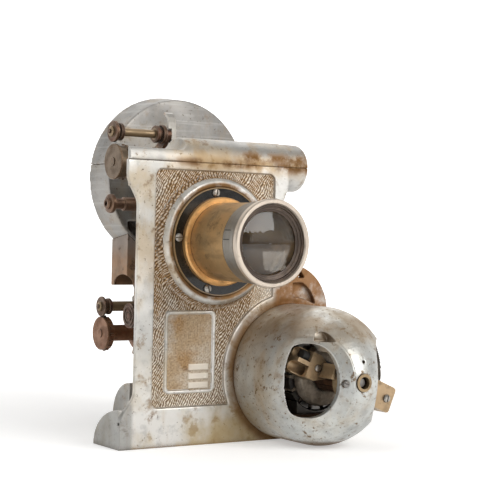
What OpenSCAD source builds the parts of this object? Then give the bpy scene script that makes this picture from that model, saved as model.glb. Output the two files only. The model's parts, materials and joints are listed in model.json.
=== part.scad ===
// Early motor-driven 35 mm film projector mechanism, in millimetres.
// Z is up, X is to the right and Y runs backwards, away from the lens.
// The numbers in the modules are depths behind the face of the front plate; placed() then moves
// the whole model so that the origin is under the middle of the front foot, on the lens centre line.

/* [Front casting] */
// Left side of the straight part of the front plate, as a distance from the lens
plate_left = 60; // [58:0.5:62]
// Right side of the straight part of the front plate
plate_right = 54.3; // [53:0.1:56]
// Width of the front foot
foot_w = 140.8; // [136:0.1:144]
// Left bulge at the top corner of the plate
shoulder_left = 68; // [65:0.5:70]
// Right bulge at the top corner of the plate
shoulder_right = 59.8; // [58:0.1:61]
// Height of the joint between the casting and the top cover
joint_z = 189; // [187:0.5:190]
// Thickness of the front plate
plate_t = 9; // [8:0.5:10]
// Height of the front foot where it meets the plate
foot_h = 26; // [22:1:30]
// Depth of the front foot on the floor
foot_depth = 36.5; // [33:0.5:40]
// Radius of the round top bar
bar_r = 17; // [16.5:0.5:17.5]
// Right end of the top bar
bar_right = 76.5; // [74:0.5:80]

/* [Lens] */
// Height of the lens above the floor
lens_z = 136.5; // [134:0.5:139]
// Radius of the raised ring around the lens port
port_rim_r = 41.8; // [40:0.1:42.5]
// Radius of the lens port
port_r = 36.5; // [36:0.5:37]
// Radius of the lens barrel
barrel_r = 26; // [25.5:0.1:26.2]
// Radius of the nickel collar at the front of the lens
collar_r = 26.6; // [26.4:0.1:27]
// Radius of the flared rim of the nickel collar
collar_rim_r = 28.3; // [27.5:0.1:28.6]
// How far the lens stands out of the front plate
lens_reach = 68.2; // [64:0.1:72]

/* [Motor] */
// Sideways place of the motor and of the main shaft above it
motor_x = 62.9; // [62:0.1:64]
// Height of the motor shaft
motor_z = 47.2; // [47.2:0.1:48]
// Outside radius of the motor shell
motor_r = 47; // [46:0.5:47]
// Length of the straight part of the motor shell
motor_straight = 37; // [35:1:38]
// Length of the domed part of the motor shell
motor_dome = 47.6; // [46:0.2:49]

/* [Gear train] */
// Tooth module of the gears behind the front plate
fine_module = 0.8; // [0.8:0.1:0.8]
// Teeth of the motor pinion
motor_pinion_teeth = 24; // [24:1:24]
// Teeth of the main gear
main_gear_teeth = 63; // [63:1:63]
// Teeth of the gear that drives the shutter
shutter_drive_teeth = 84; // [84:1:84]
// Teeth of the shutter gear
shutter_teeth = 42; // [42:1:42]
// Teeth of each bevel gear
bevel_teeth = 16; // [16:2:20]
// Teeth of the beater pinion
beater_pinion_teeth = 18; // [18:1:18]
// Teeth of the lower sprocket gear
lower_gear_teeth = 72; // [72:1:72]
// Teeth of the large ring of the double idler
idler_large_teeth = 54; // [54:1:54]
// Teeth of the small ring of the double idler
idler_small_teeth = 24; // [24:1:24]
// Teeth of the single idler
idler_single_teeth = 40; // [40:1:40]
// Teeth of the upper sprocket gear
upper_gear_teeth = 32; // [32:1:32]

/* [Film path] */
// Half of the width of the film rollers
roller_half_w = 23; // [22:0.5:24]
// Radius of a sprocket's toothed rim
sprocket_r = 12; // [11.8:0.1:12.1]
// Number of teeth on a sprocket
sprocket_teeth = 16; // [16:1:16]
// Distance between the two rows of sprocket teeth
perforation_gauge = 28.2; // [28:0.1:28.4]
// Width of the picture aperture
aperture_w = 23; // [20:0.5:24]
// Height of the picture aperture
aperture_h = 17; // [15:0.5:18]

/* [Drum] */
// Height of the flywheel shaft and of the drum around it
drum_z = 184; // [183:0.5:185]
// Radius of the drum at its front
drum_front_r = 62.2; // [61:0.1:63]
// Radius of the drum at its back
drum_back_r = 65.4; // [64:0.1:66]
// Depth of the drum's front face behind the front plate
drum_front_y = 156.5; // [156.5:0.5:158]
// Width of the drum from front to back
drum_w = 25.5; // [25:0.5:27]

/* [Hidden] */
$fn = 64;

origin_depth = 18;
wall = 3;
shaft_r = 3;
running_gap = 0.05;
pressure_angle = 20;
backlash = 0.2;
coarse_module = 1;
bevel_backlash = 0.3;

// Places of the shafts that run from side to side, as depth and height
lower_at = [121, 66.5];
upper_at = [107, 192.5];
beater_rise = 15.5;
beater_centres = (beater_pinion_teeth + lower_gear_teeth) * coarse_module / 2;
beater_at = [lower_at[0] - sqrt(pow(beater_centres, 2) - pow(beater_rise, 2)), lower_at[1] + beater_rise];
upper_roller_at = [108.5, 214.5];
lower_roller_at = [120, 86.3];
guide_at = [112, 162];
upper_pivot_at = [134, 189];
lower_pivot_at = [137, 99];

// The main shaft runs from front to back, level with the beater shaft
main_z = beater_at[1];
pinion_centres = main_z - motor_z;
shutter_at = [motor_x - 34.4, main_z + 36.8];

// Places of the idlers, each on a circle around its two neighbours
function meet(a, b, ra, rb, side) =
    let(d = norm(b - a), along = (ra * ra - rb * rb + d * d) / (2 * d), off = sqrt(ra * ra - along * along))
    a + (b - a) / d * along + side * off * [-(b - a)[1], (b - a)[0]] / d;
function pitch_r(teeth, m) = teeth * m / 2;
double_reach = pitch_r(lower_gear_teeth + idler_large_teeth, coarse_module);
single_low = pitch_r(idler_small_teeth + idler_single_teeth, coarse_module);
single_high = pitch_r(idler_single_teeth + upper_gear_teeth, coarse_module);
idler_lean = 84;
double_at = lower_at + double_reach * [cos(idler_lean + 10), sin(idler_lean + 10)];
single_at = meet(double_at, upper_at, single_low, single_high, -1);

function bearing(a, b) = atan2(b[1] - a[1], b[0] - a[0]);
// Turn of a gear whose teeth mesh with a neighbour: angle of the line of centres, turn and teeth
// of the neighbour, own teeth
function mesh_turn(angle, turn, n1, n2) = angle + 180 + (180 - (turn - angle) * n1) / n2;

lower_turn = 0;
beater_turn = mesh_turn(bearing(lower_at, beater_at), lower_turn, lower_gear_teeth, beater_pinion_teeth);
double_turn = mesh_turn(bearing(lower_at, double_at), lower_turn, lower_gear_teeth, idler_large_teeth);
single_turn = mesh_turn(bearing(double_at, single_at), double_turn, idler_small_teeth, idler_single_teeth);
upper_turn = mesh_turn(bearing(single_at, upper_at), single_turn, idler_single_teeth, upper_gear_teeth);
main_turn = 90;
motor_turn = mesh_turn(270, main_turn, main_gear_teeth, motor_pinion_teeth);
main_at = [motor_x, main_z];
shutter_drive_turn = 0;
shutter_turn = mesh_turn(bearing(main_at, shutter_at), shutter_drive_turn, shutter_drive_teeth, shutter_teeth);

// Widths of the gear rows, as distances to the right of the lens
gear_row = [36, 41];
gear_row_outer = [41.5, 46.5];
wall_row = [26, 32];
arm_row = [22, 25.5];
main_gear_row = [11, 17];
shutter_gear_row = [24, 29];

// Belt from the wheel on the main shaft to the flywheel
belt_y = 170;
belt_r = 2.25;
belt_low_r = 23;
belt_high_r = 46;

COL_ALU = [0.76, 0.76, 0.74];
COL_BROWN = [0.45, 0.33, 0.22];
COL_STEEL = [0.42, 0.42, 0.42];
COL_BRONZE = [0.33, 0.24, 0.18];
COL_BRASS = [0.72, 0.53, 0.28];
COL_DULL_BRASS = [0.5, 0.43, 0.28];
COL_NICKEL = [0.68, 0.66, 0.6];
COL_BLACK = [0.08, 0.08, 0.08];
COL_GLASS = [0.6, 0.7, 0.7, 0.5];
COL_COPPER = [0.4, 0.26, 0.18];

module placed() {
    translate([0, -origin_depth, 0]) children();
}

// A flat shape drawn as (x, z), given a depth from y0 to y1
module slab_y(y0, y1) {
    translate([0, y1, 0]) rotate([90, 0, 0]) linear_extrude(y1 - y0) children();
}

// A flat shape drawn as (y, z), given a width from x0 to x1
module slab_x(x0, x1) {
    translate([x0, 0, 0]) rotate([90, 0, 90]) linear_extrude(x1 - x0) children();
}

module rod_y(x, z, r, y0, y1) {
    translate([x, y0, z]) rotate([-90, 0, 0]) cylinder(r = r, h = y1 - y0);
}

module rod_x(at, r, x0, x1) {
    translate([x0, at[0], at[1]]) rotate([0, 90, 0]) cylinder(r = r, h = x1 - x0);
}

module block(x, y, z) {
    translate([x[0], y[0], z[0]]) cube([x[1] - x[0], y[1] - y[0], z[1] - z[0]]);
}

// A turned piece on a front-to-back axis, its outline drawn as (radius, depth)
module turned_y(x, z) {
    translate([x, 0, z]) rotate([-90, 0, 0]) rotate_extrude() children();
}

// A turned piece on a side-to-side axis, its outline drawn as (radius, x)
module turned_x(at) {
    translate([0, at[0], at[1]]) rotate([0, 90, 0]) rotate_extrude() children();
}

// A cheese-head screw with its slot, pointing out of a face that looks forwards
module slotted_screw_y(x, z, r, face_y, depth, slot_angle = 30) {
    difference() {
        union() {
            turned_y(x, z) polygon([[0, face_y], [r, face_y], [r, face_y - r * 0.35],
                [r * 0.75, face_y - r * 0.65], [0, face_y - r * 0.75]]);
            rod_y(x, z, r * 0.55, face_y, face_y + depth);
        }
        translate([x, face_y - r * 0.6, z]) rotate([0, slot_angle, 0])
            cube([r * 2.4, r * 0.7, r * 0.3], center = true);
    }
}

// Involute gear outline
function involute_angle(r, base_r) = let(t = sqrt(max(0, pow(r / base_r, 2) - 1))) t * 180 / PI - atan(t);
function tooth_half_angle(r, teeth, m, slack) =
    let(p = pitch_r(teeth, m), b = p * cos(pressure_angle))
    90 / teeth - slack / 2 / p * 180 / PI + involute_angle(p, b) - involute_angle(max(r, b), b);
function polar(r, a) = [r * cos(a), r * sin(a)];
function gear_points(teeth, m, turn, slack) =
    let(p = pitch_r(teeth, m), tip = p + 0.95 * m, root = p - 1.2 * m,
        steps = [root, p - 0.4 * m, p + 0.3 * m, tip])
    [for (i = [0 : teeth - 1]) let(c = turn + 360 * i / teeth)
        each concat(
            [for (r = steps) polar(r, c - tooth_half_angle(r, teeth, m, slack))],
            [for (k = [3 : -1 : 0]) polar(steps[k], c + tooth_half_angle(steps[k], teeth, m, slack))])];
module gear_outline(teeth, m, turn, slack = backlash) {
    polygon(gear_points(teeth, m, turn, slack));
}

// A spoked wheel is lighter than a full one: round holes between its hub and its teeth
module gear_holes(teeth, m, count) {
    p = pitch_r(teeth, m);
    for (i = [0 : count - 1])
        rotate(360 * (i + 0.5) / count) translate([p * 0.56, 0]) circle(r = p * 0.2, $fn = 12);
}

module gear_x(at, row, teeth, m, turn, hole_r, lightened = 0) {
    slab_x(row[0], row[1]) translate(at) difference() {
        gear_outline(teeth, m, turn);
        circle(r = hole_r / cos(15), $fn = 12);
        if (lightened > 0) gear_holes(teeth, m, lightened);
    }
}

module gear_y(at, row, teeth, m, turn, hole_r, lightened = 0) {
    slab_y(row[0], row[1]) translate(at) difference() {
        gear_outline(teeth, m, turn);
        circle(r = hole_r / cos(15), $fn = 12);
        if (lightened > 0) gear_holes(teeth, m, lightened);
    }
}

// Sides of the front plate at a height: foot, straight column, shoulder
function smooth(t) = t * t * (3 - 2 * t);
foot_top = 17;
flare_top = 38;
shoulder_start = 159;
shoulder_top = 179;
function side_at(z, column, shoulder) =
    z <= foot_top ? foot_w / 2
    : z <= flare_top ? foot_w / 2 + (column - foot_w / 2) * smooth((z - foot_top) / (flare_top - foot_top))
    : z <= shoulder_start ? column
    : z <= shoulder_top ? column + (shoulder - column) * smooth((z - shoulder_start) / (shoulder_top - shoulder_start))
    : shoulder;
plate_heights = concat([0], [for (i = [0 : 8]) foot_top + (flare_top - foot_top) * i / 8],
    [for (i = [0 : 8]) shoulder_start + (shoulder_top - shoulder_start) * i / 8], [joint_z]);

module plate_outline(inset = 0) {
    n = len(plate_heights);
    polygon(concat([for (z = plate_heights) [side_at(z, plate_right, shoulder_right) - inset, z]],
        [for (i = [n - 1 : -1 : 0]) [inset - side_at(plate_heights[i], plate_left, shoulder_left), plate_heights[i]]]));
}
// The plate is a thin face with a lip all round and a thicker body set in behind it
lip_t = 3;
lip_w = 4;

// Recessed panel of the front plate, cut off by an arc around the motor
panel_left = 46.7;
panel_right = 47.8;
panel_low = 26;
panel_high = 183.7;
panel_corner = 5;
panel_depth = 2.2;
motor_land_r = 54;
module rounded_rect(x0, x1, z0, z1, r) {
    union() {
        translate([x0 + r, z0]) square([x1 - x0 - 2 * r, z1 - z0]);
        translate([x0, z0 + r]) square([x1 - x0, z1 - z0 - 2 * r]);
        for (x = [x0 + r, x1 - r], z = [z0 + r, z1 - r]) translate([x, z]) circle(r = r);
    }
}
module panel_shape() {
    difference() {
        rounded_rect(-panel_left, panel_right, panel_low, panel_high, panel_corner);
        translate([motor_x, motor_z]) circle(r = motor_land_r);
    }
}

// Raised bead around a bare nameplate field, with two plain bars in it
plate_field = [-37.2, 2, 35.2, 90];
bead_w = 2;
bead_h = 1.6;
module nameplate_bead() {
    difference() {
        rounded_rect(plate_field[0], plate_field[1], plate_field[2], plate_field[3], 4);
        rounded_rect(plate_field[0] + bead_w, plate_field[1] - bead_w, plate_field[2] + bead_w,
            plate_field[3] - bead_w, 2.5);
    }
    for (z = [39.5, 49.5]) translate([-16, z - 2]) square([15, 4]);
}

lobe_at = [62.9, 88];
lobe_r = 33.5;
lobe_rim = 10;
lobe_front = 2;
rib_z = 110;
module lobe_web_shape() {
    difference() {
        translate(lobe_at) circle(r = lobe_r - lobe_rim);
        translate([motor_x, motor_z]) circle(r = 51.5);
        translate([0, rib_z - 1.5]) square([150, 3]);
        square([66, 150]);
    }
}

bar_at = [bar_r, joint_z];
bar_bore_r = 12.5;
bar_left = -68;
bar_seam_x = shoulder_right;
// Round bar along X, a little thinner beyond the plate, its left end cut at a slant
module bar_body() {
    difference() {
        turned_x(bar_at) polygon([[0, bar_left], [bar_r, bar_left], [bar_r, bar_seam_x - 0.4], [bar_r - 0.4, bar_seam_x],
            [bar_r - 0.4, bar_right - 2.4], [bar_r - 1.1, bar_right - 0.7], [bar_r - 2.8, bar_right], [0, bar_right]]);
        translate([0, 0, 160]) linear_extrude(60)
            polygon([[-90, -2], [-67, -2], [-67, 2], [-65, 6], [-47.5, 35], [-90, 35]]);
    }
}
module bar_hollow() {
    rod_x(bar_at, bar_bore_r, cover_step_x + 7, bar_right - 5);
}

hold_down_x = 60;
hold_down_r = 3.25;
hold_down_y = 20;
spot_face_h = 12;
module foot_profile() {
    polygon(concat([[2.5, 0]], [for (i = [0 : 11]) [foot_depth * cos(90 * i / 12), foot_h * sin(90 * i / 12)]],
        [[2.5, foot_h]]));
}
// Bead around the lens port, on a sloping flank that rises out of the panel
module port_boss() {
    turned_y(0, lens_z) polygon([[0, panel_depth + 0.5], [port_rim_r + 3.4, panel_depth + 0.5],
        [port_rim_r + 3.4, panel_depth - 0.2], [port_rim_r + 0.4, -3], [port_rim_r - 0.4, -4.4], [port_rim_r - 1.8, -5.4],
        [port_rim_r - 2.8, -5.5], [port_rim_r - 4.2, -5.2], [port_r - 0.5, -4.4], [0, -4.4]]);
}

motor_bearing_r = 4;
module front_casting() {
    color(COL_ALU) difference() {
        union() {
            difference() {
                union() {
                    slab_y(0, lip_t) plate_outline();
                    slab_y(lip_t, plate_t) plate_outline(lip_w);
                    intersection() {
                        bar_body();
                        block([-100, 100], [-1, 40], [160, joint_z]);
                    }
                }
                slab_y(-1, panel_depth) panel_shape();
            }
            slab_y(panel_depth - bead_h, panel_depth + 1) nameplate_bead();
            slab_x(-foot_w / 2, foot_w / 2) foot_profile();
            rod_y(motor_x, motor_z, motor_r, 0, plate_t);
            rod_y(lobe_at[0], lobe_at[1], lobe_r, lobe_front, plate_t);
            port_boss();
            rod_y(motor_x, motor_z, 9, plate_t - 1, plate_t + 1.5);
            rod_y(motor_x, main_z, 8, plate_t - 1, plate_t + 1.5);
        }
        rod_y(0, lens_z, port_r, -7, 0);
        rod_y(0, lens_z, sleeve_neck_r + 0.3, -1, plate_t + 1);
        // small blind hole at the corner of the foot
        rod_x([2.4, foot_top], 1.1, -foot_w / 2 - 1, -foot_w / 2 + 4);
        slab_y(lobe_front - 1, lobe_front + 4) lobe_web_shape();
        // triangular opening over the rib of the gear-case lobe
        slab_y(-1, plate_t + 1) polygon([[70.5, rib_z + 2], [76.5, rib_z + 2], [72.5, rib_z + 7]]);
        bar_hollow();
        rod_y(motor_x, motor_z, motor_bearing_r + running_gap, -1, plate_t + 3);
        rod_y(motor_x, main_z, shaft_r + running_gap, 3, plate_t + 3);
        for (x = [-hold_down_x, hold_down_x]) {
            translate([x, hold_down_y, -1]) cylinder(r = hold_down_r, h = foot_h);
            translate([x, hold_down_y, spot_face_h]) cylinder(r = 7, h = foot_h);
        }
        for (side = [-1, 1]) block(side > 0 ? [16, 50] : [-50, -16], [12, 28], [-1, 14]);
        rod_y(shutter_at[0], shutter_at[1], stud_r, 5, plate_t + 1);
    }
}

cover_step_x = -22;
cover_step_z = 197;
step_fillet = 6;
module top_cover() {
    color(COL_ALU) difference() {
        intersection() {
            bar_body();
            block([-100, 100], [-1, 40], [joint_z, 220]);
        }
        bar_hollow();
        block([-100, cover_step_x - step_fillet], [-1, 40], [cover_step_z, 220]);
        block([cover_step_x - step_fillet - 1, cover_step_x], [-1, 40], [cover_step_z + step_fillet, 220]);
        translate([cover_step_x - step_fillet, -1, cover_step_z + step_fillet]) rotate([-90, 0, 0])
            cylinder(r = step_fillet, h = 41);
    }
}

// Upright wall that carries the film path on its left and the gears on its right
wall_back = 140;
wall_top = 201;
module mechanism_wall() {
    color(COL_ALU) difference() {
        union() {
            slab_x(wall_row[0], wall_row[1]) polygon([[plate_t, rail_h], [plate_t, 34], [50, 34], [50, 172],
                [2 * bar_r + 0.2, 172], [2 * bar_r + 0.2, 187], [50, 187], [62, wall_top], [wall_back - 20, wall_top], [wall_back, 190],
                [wall_back, 62], [wall_back - 12, 50], [wall_back - 12, rail_h]]);
            for (at = [lower_at, upper_at, beater_at]) rod_x(at, 7.5, wall_row[1] - 1, wall_row[1] + 3);
        }
        slab_x(wall_row[0] - 1, wall_row[1] + 1) foot_profile();
        for (at = [lower_at, upper_at, beater_at]) rod_x(at, shaft_r + running_gap, wall_row[0] - 1, wall_row[1] + 4);
        for (at = [double_at, single_at]) rod_x(at, stud_r, wall_row[0] - 1, wall_row[1] + 1);
        for (at = [guide_at, upper_pivot_at, lower_pivot_at]) rod_x(at, small_stud_r, wall_row[0] - 1, wall_row[1] + 1);
    }
}

// Base rail, rear foot and pillar in one casting
rail_h = 12;
rail_x = [14, 34];
rear_foot_x = [15, 111];
rear_foot_y = [142, 168];
pillar_x = [44, 82];
pillar_y = [148.5, 156.5];
rear_hole_x = [25, 101];
rear_hole_y = 156;
module rear_foot_profile() {
    depth = rear_foot_y[1] - rear_foot_y[0];
    polygon(concat([[rear_foot_y[0], 0]],
        [for (i = [0 : 10]) [rear_foot_y[0] + depth * cos(90 * i / 10), foot_h * sin(90 * i / 10)]]));
}
module rear_frame() {
    color(COL_ALU) difference() {
        union() {
            block(rail_x, [foot_depth, rear_foot_y[0] + 1], [0, rail_h]);
            block(rail_x, [plate_t, foot_depth + 1], [0, rail_h]);
            slab_x(rear_foot_x[0], rear_foot_x[1]) rear_foot_profile();
            block(pillar_x, pillar_y, [10, drum_z + 14]);
            rod_y(motor_x, main_z, 8, pillar_y[0] - 3, pillar_y[1]);
            rod_y(motor_x, drum_z, 9, pillar_y[0] - 3, pillar_y[1]);
        }
        slab_x(rail_x[0] - 1, rail_x[1] + 1) foot_profile();
        rod_y(motor_x, main_z, shaft_r + running_gap, pillar_y[0] - 5, pillar_y[1] + 1);
        rod_y(motor_x, drum_z, 4 + running_gap, pillar_y[0] - 5, pillar_y[1] + 1);
        for (x = rear_hole_x) {
            translate([x, rear_hole_y, -1]) cylinder(r = hold_down_r, h = foot_h);
            translate([x, rear_hole_y, spot_face_h]) cylinder(r = 6, h = foot_h);
        }
        case_screw_shanks(1);
        block([pillar_x[0] + 10, pillar_x[1] - 10], [pillar_y[0] - 5, pillar_y[1] + 1], [104, 168]);
    }
}

// Beam from the top bar back to the pillar
module top_arm() {
    y = [2 * bar_r - 4, pillar_y[0]];
    color(COL_ALU) difference() {
        block([pillar_x[0] + 6, pillar_x[1] - 6], y, [176, 200]);
        rod_x(bar_at, bar_r, 30, 100);
        block([pillar_x[0] + 5, pillar_x[0] + 16], [y[0] + 14, y[1] - 12], [181, 195]);
        block([pillar_x[1] - 16, pillar_x[1] - 5], [y[0] + 14, y[1] - 12], [181, 195]);
        rod_y(motor_x, drum_z, 6, y[1] - 9, y[1] + 1);
        rod_y(motor_x, drum_z, 9, y[1] - 3, y[1] + 1);
    }
}

// The drum is a shallow dish in two halves that meet on a level joint
split_z = 193.5;
drum_recess = 5;
module drum_solid(grow = 0) {
    translate([motor_x, drum_front_y, drum_z]) rotate([-90, 0, 0])
        cylinder(r1 = drum_front_r + grow, r2 = drum_back_r + grow, h = drum_w, $fn = 96);
}
module drum_dish() {
    difference() {
        drum_solid();
        intersection() {
            drum_solid(-wall);
            block([-20, 150], [drum_front_y + wall, drum_front_y + drum_w - wall], [100, 260]);
        }
    }
}
module drum_lower_shell() {
    color(COL_ALU) difference() {
        union() {
            intersection() {
                drum_dish();
                block([-20, 150], [drum_front_y, drum_front_y + drum_w], [100, split_z]);
            }
            intersection() {
                drum_solid(-0.5);
                union() {
                    block([-20, motor_x - 16], [drum_front_y + drum_recess, drum_front_y + drum_recess + wall], [100, split_z]);
                    block([motor_x - 19, motor_x - 16], [drum_front_y + 1, drum_front_y + drum_recess + 1], [100, split_z]);
                }
            }
            rod_y(motor_x, drum_z, 9, drum_front_y + drum_w - wall, drum_front_y + drum_w + 3);
        }
        // the lower left quarter has its front wall set back
        intersection() {
            drum_solid(-wall);
            block([-20, motor_x - 19], [drum_front_y - 1, drum_front_y + drum_recess], [100, split_z + 1]);
        }
        // way out for the belt
        block([guard_x[0] + wall, guard_x[1] - wall], [drum_front_y + wall, drum_front_y + drum_w - wall], [100, 150]);
        rod_y(motor_x, drum_z, 4 + running_gap, drum_front_y - 1, drum_front_y + drum_w + 4);
        case_screw_shanks(1);
    }
}
module drum_upper_shell() {
    color(COL_ALU) intersection() {
        drum_dish();
        block([-20, 150], [drum_front_y, drum_front_y + drum_w], [split_z, 260]);
    }
}

// Hollow shroud under the drum, around the two runs of the belt
guard_x = [18.5, 107.3];
guard_low = 99.4;
view_turn = 33.5;
module belt_guard() {
    color(COL_BROWN) difference() {
        block(guard_x, [drum_front_y, drum_front_y + drum_w], [guard_low, 150]);
        block([guard_x[0] + wall, guard_x[1] - wall], [drum_front_y + wall, drum_front_y + drum_w - wall],
            [guard_low - 1, 151]);
        drum_solid(0.1);
        // round notch across the lower front corner
        translate([guard_x[0] + 1.3, drum_front_y + 8, guard_low + 1]) rotate([0, 0, -view_turn])
            rotate([-90, 0, 0]) translate([0, 0, -30]) cylinder(r = 7.9, h = 43);
    }
}

pillar_screws = [[pillar_x[0] + 5, 172], [pillar_x[1] - 5, 172], [pillar_x[0] + 5, 136], [pillar_x[1] - 5, 136]];
screw_r = 2.6;
nose_screw_at = [motor_x - 12.7, motor_z - 0.4];
nose_screw_y = -81.2;
nose_screw_r = 2.1;
module case_screw_shanks(slack = 0) {
    for (p = pillar_screws) rod_y(p[0], p[1], screw_r * 0.55, pillar_y[0] - slack, pillar_y[1] + wall);
}
module case_screws() {
    color(COL_STEEL) {
        case_screw_shanks();
        for (p = pillar_screws) slotted_screw_y(p[0], p[1], screw_r, pillar_y[0], 1);
        slotted_screw_y(nose_screw_at[0], nose_screw_at[1], nose_screw_r, nose_screw_y, 3, 20);
    }
}

// Black ring that holds the focusing sleeve in the lens port
ring_r = 36.3;
ring_face_y = -6;
sleeve_r = 29.6;
sleeve_neck_r = 28;
screw_circle_r = 32.8;
screw_angles = [98, 176, 253, 325, 28];
module lens_mount_ring() {
    color(COL_BLACK) difference() {
        rod_y(0, lens_z, ring_r, ring_face_y, 0);
        rod_y(0, lens_z, sleeve_r, ring_face_y - 1, 1);
        for (a = screw_angles)
            rod_y(screw_circle_r * cos(a), lens_z + screw_circle_r * sin(a), 1.5, ring_face_y - 1, 1);
    }
}
module ring_screws() {
    color(COL_NICKEL) for (a = screw_angles)
        slotted_screw_y(screw_circle_r * cos(a), lens_z + screw_circle_r * sin(a), 2.7, ring_face_y, 5.6, a);
}

sleeve_front = -10;
sleeve_back = 8.8;
module focus_sleeve() {
    color(COL_BRASS) turned_y(0, lens_z) polygon([[barrel_r + running_gap, sleeve_front], [sleeve_r - 1, sleeve_front],
        [sleeve_r, sleeve_front + 1], [sleeve_r, 0], [sleeve_neck_r, 0], [sleeve_neck_r, sleeve_back],
        [barrel_r + running_gap, sleeve_back]]);
}
barrel_front = -61.5;
barrel_back = 14;
collar_back = -50;
collar_bore_r = 25;
module lens_barrel() {
    color(COL_DULL_BRASS) turned_y(0, lens_z) polygon([[22.4, barrel_front], [barrel_r, barrel_front],
        [barrel_r, collar_back], [barrel_r - 0.9, collar_back], [barrel_r - 0.9, collar_back + 1.3],
        [barrel_r, collar_back + 1.3], [barrel_r, barrel_back], [21, barrel_back], [21, barrel_back - 3],
        [22.4, barrel_back - 3]]);
}
module lens_collar() {
    color(COL_NICKEL) turned_y(0, lens_z) polygon([[collar_bore_r + 0.6, -lens_reach], [collar_rim_r - 0.7, -lens_reach],
        [collar_rim_r, -lens_reach + 0.7], [collar_rim_r, -lens_reach + 3.6], [collar_r + 0.4, -lens_reach + 5.4],
        [collar_r, -lens_reach + 7], [collar_r, collar_back], [barrel_r, collar_back], [barrel_r, barrel_front],
        [collar_bore_r, barrel_front], [collar_bore_r, -lens_reach + 1]]);
}
module lens_retaining_ring() {
    color(COL_BRONZE) turned_y(0, lens_z) polygon([[20.6, -62.3], [20.6, -63.3], [22.2, -63.8], [22.2, -64.6],
        [23.4, -64.9], [23.8, -66], [collar_bore_r, -66], [collar_bore_r, barrel_front], [22.4, barrel_front],
        [22.4, -62.3]]);
}
// A lens with curved faces, its edge from y0 to y1
function arc_profile(r, y, bulge) = [for (i = [0 : 8]) [r * i / 8, y + bulge * (1 - pow(i / 8, 2))]];
module lens_glass(r, y0, y1, front_bulge, back_bulge) {
    front = arc_profile(r, y0, -front_bulge);
    back = arc_profile(r, y1, back_bulge);
    turned_y(0, lens_z) polygon(concat(front, [for (i = [8 : -1 : 0]) back[i]]));
}
module front_lens() {
    color(COL_GLASS) lens_glass(22.3, -61.4, -58.6, 3.4, 2);
}
module rear_lens() {
    color(COL_GLASS) lens_glass(22.3, 4, 10.8, 2, 1);
}

// Motor shell: a straight part and a dome that follows a power curve
dome_power = 1.79;
shell_t = 3;
bush_r = 5.8;
boss_r = 10;
function dome_y(r, big_r, length) = -motor_straight - length * pow(max(0, 1 - pow(r / big_r, dome_power)), 1 / dome_power);
function dome_profile(big_r, length, from_r) =
    [for (i = [0 : 16]) let(r = from_r + (big_r - from_r) * sin(90 * i / 16)) [r, dome_y(r, big_r, length)]];
function signed_power(v, p) = (v < 0 ? -1 : 1) * pow(abs(v), p);
window_round = 2.4;
// Window in the dome, its outer side on a circle around the shaft: side of the motor, inner edge,
// outer radius, lower and upper edge
left_window = [-1, 14.6, 42.3, -24, 24.5];
right_window = [1, 13.5, 45.7, -29.5, 26];
module window_shape(w) {
    mid = [(w[1] + w[2]) / 2, (w[3] + w[4]) / 2];
    half = [(w[2] - w[1]) / 2, (w[4] - w[3]) / 2];
    polygon([for (i = [0 : 47]) let(t = 360 * i / 48,
        p = mid + [half[0] * signed_power(cos(t), 2 / window_round), half[1] * signed_power(sin(t), 2 / window_round)],
        k = min(1, w[2] / norm(p))) [w[0] * p[0] * k, p[1] * k]]);
}
// Half-round pocket over the left window, with a thin shelf between the two
pocket_at = [-19.6, 26.6];
pocket_r = 5.6;
pocket_floor_z = 25.6;
module motor_shell() {
    color(COL_ALU) difference() {
        motor_shell_body();
        rod_y(nose_screw_at[0], nose_screw_at[1], nose_screw_r + 0.2, -95, nose_screw_y);
        rod_y(nose_screw_at[0], nose_screw_at[1], nose_screw_r * 0.55, -85, nose_screw_y + 3);
    }
}
module dome_solid() {
    rotate([-90, 0, 0]) rotate_extrude() polygon(concat([[0, -motor_straight - motor_dome]],
        dome_profile(motor_r, motor_dome, 0.5), [[motor_r, -0.6], [motor_r - 1, -0.6], [motor_r - 1, 0], [0, 0]]));
}
module dome_hollow() {
    rotate([-90, 0, 0]) rotate_extrude() polygon(concat(dome_profile(motor_r - shell_t, motor_dome - 4, 0),
        [[motor_r - shell_t, 1], [0, 1]]));
}
module motor_shell_body() {
    translate([motor_x, 0, motor_z]) difference() {
        union() {
            difference() {
                dome_solid();
                dome_hollow();
            }
            rod_y(0, 0, boss_r, -motor_straight - motor_dome + 3, -69);
            intersection() {
                dome_solid();
                rod_y(pocket_at[0], pocket_at[1], pocket_r + 2, -80, -59.2);
            }
        }
        slab_y(-90, -42) window_shape(left_window);
        slab_y(-90, -42) window_shape(right_window);
        slab_y(-90, -61) intersection() {
            translate(pocket_at) circle(r = pocket_r);
            translate([-40, pocket_floor_z]) square([40, 20]);
        }
        rod_y(0, 0, bush_r, -90, -67);
        rod_y(1.4, 13.4, 1.1, -90, -74);
    }
}
module nose_bush() {
    color(COL_BRONZE) difference() {
        rod_y(motor_x, motor_z, bush_r, -84.8, -67.5);
        rod_y(motor_x, motor_z, motor_bearing_r + running_gap, -90, -60);
    }
}

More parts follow.
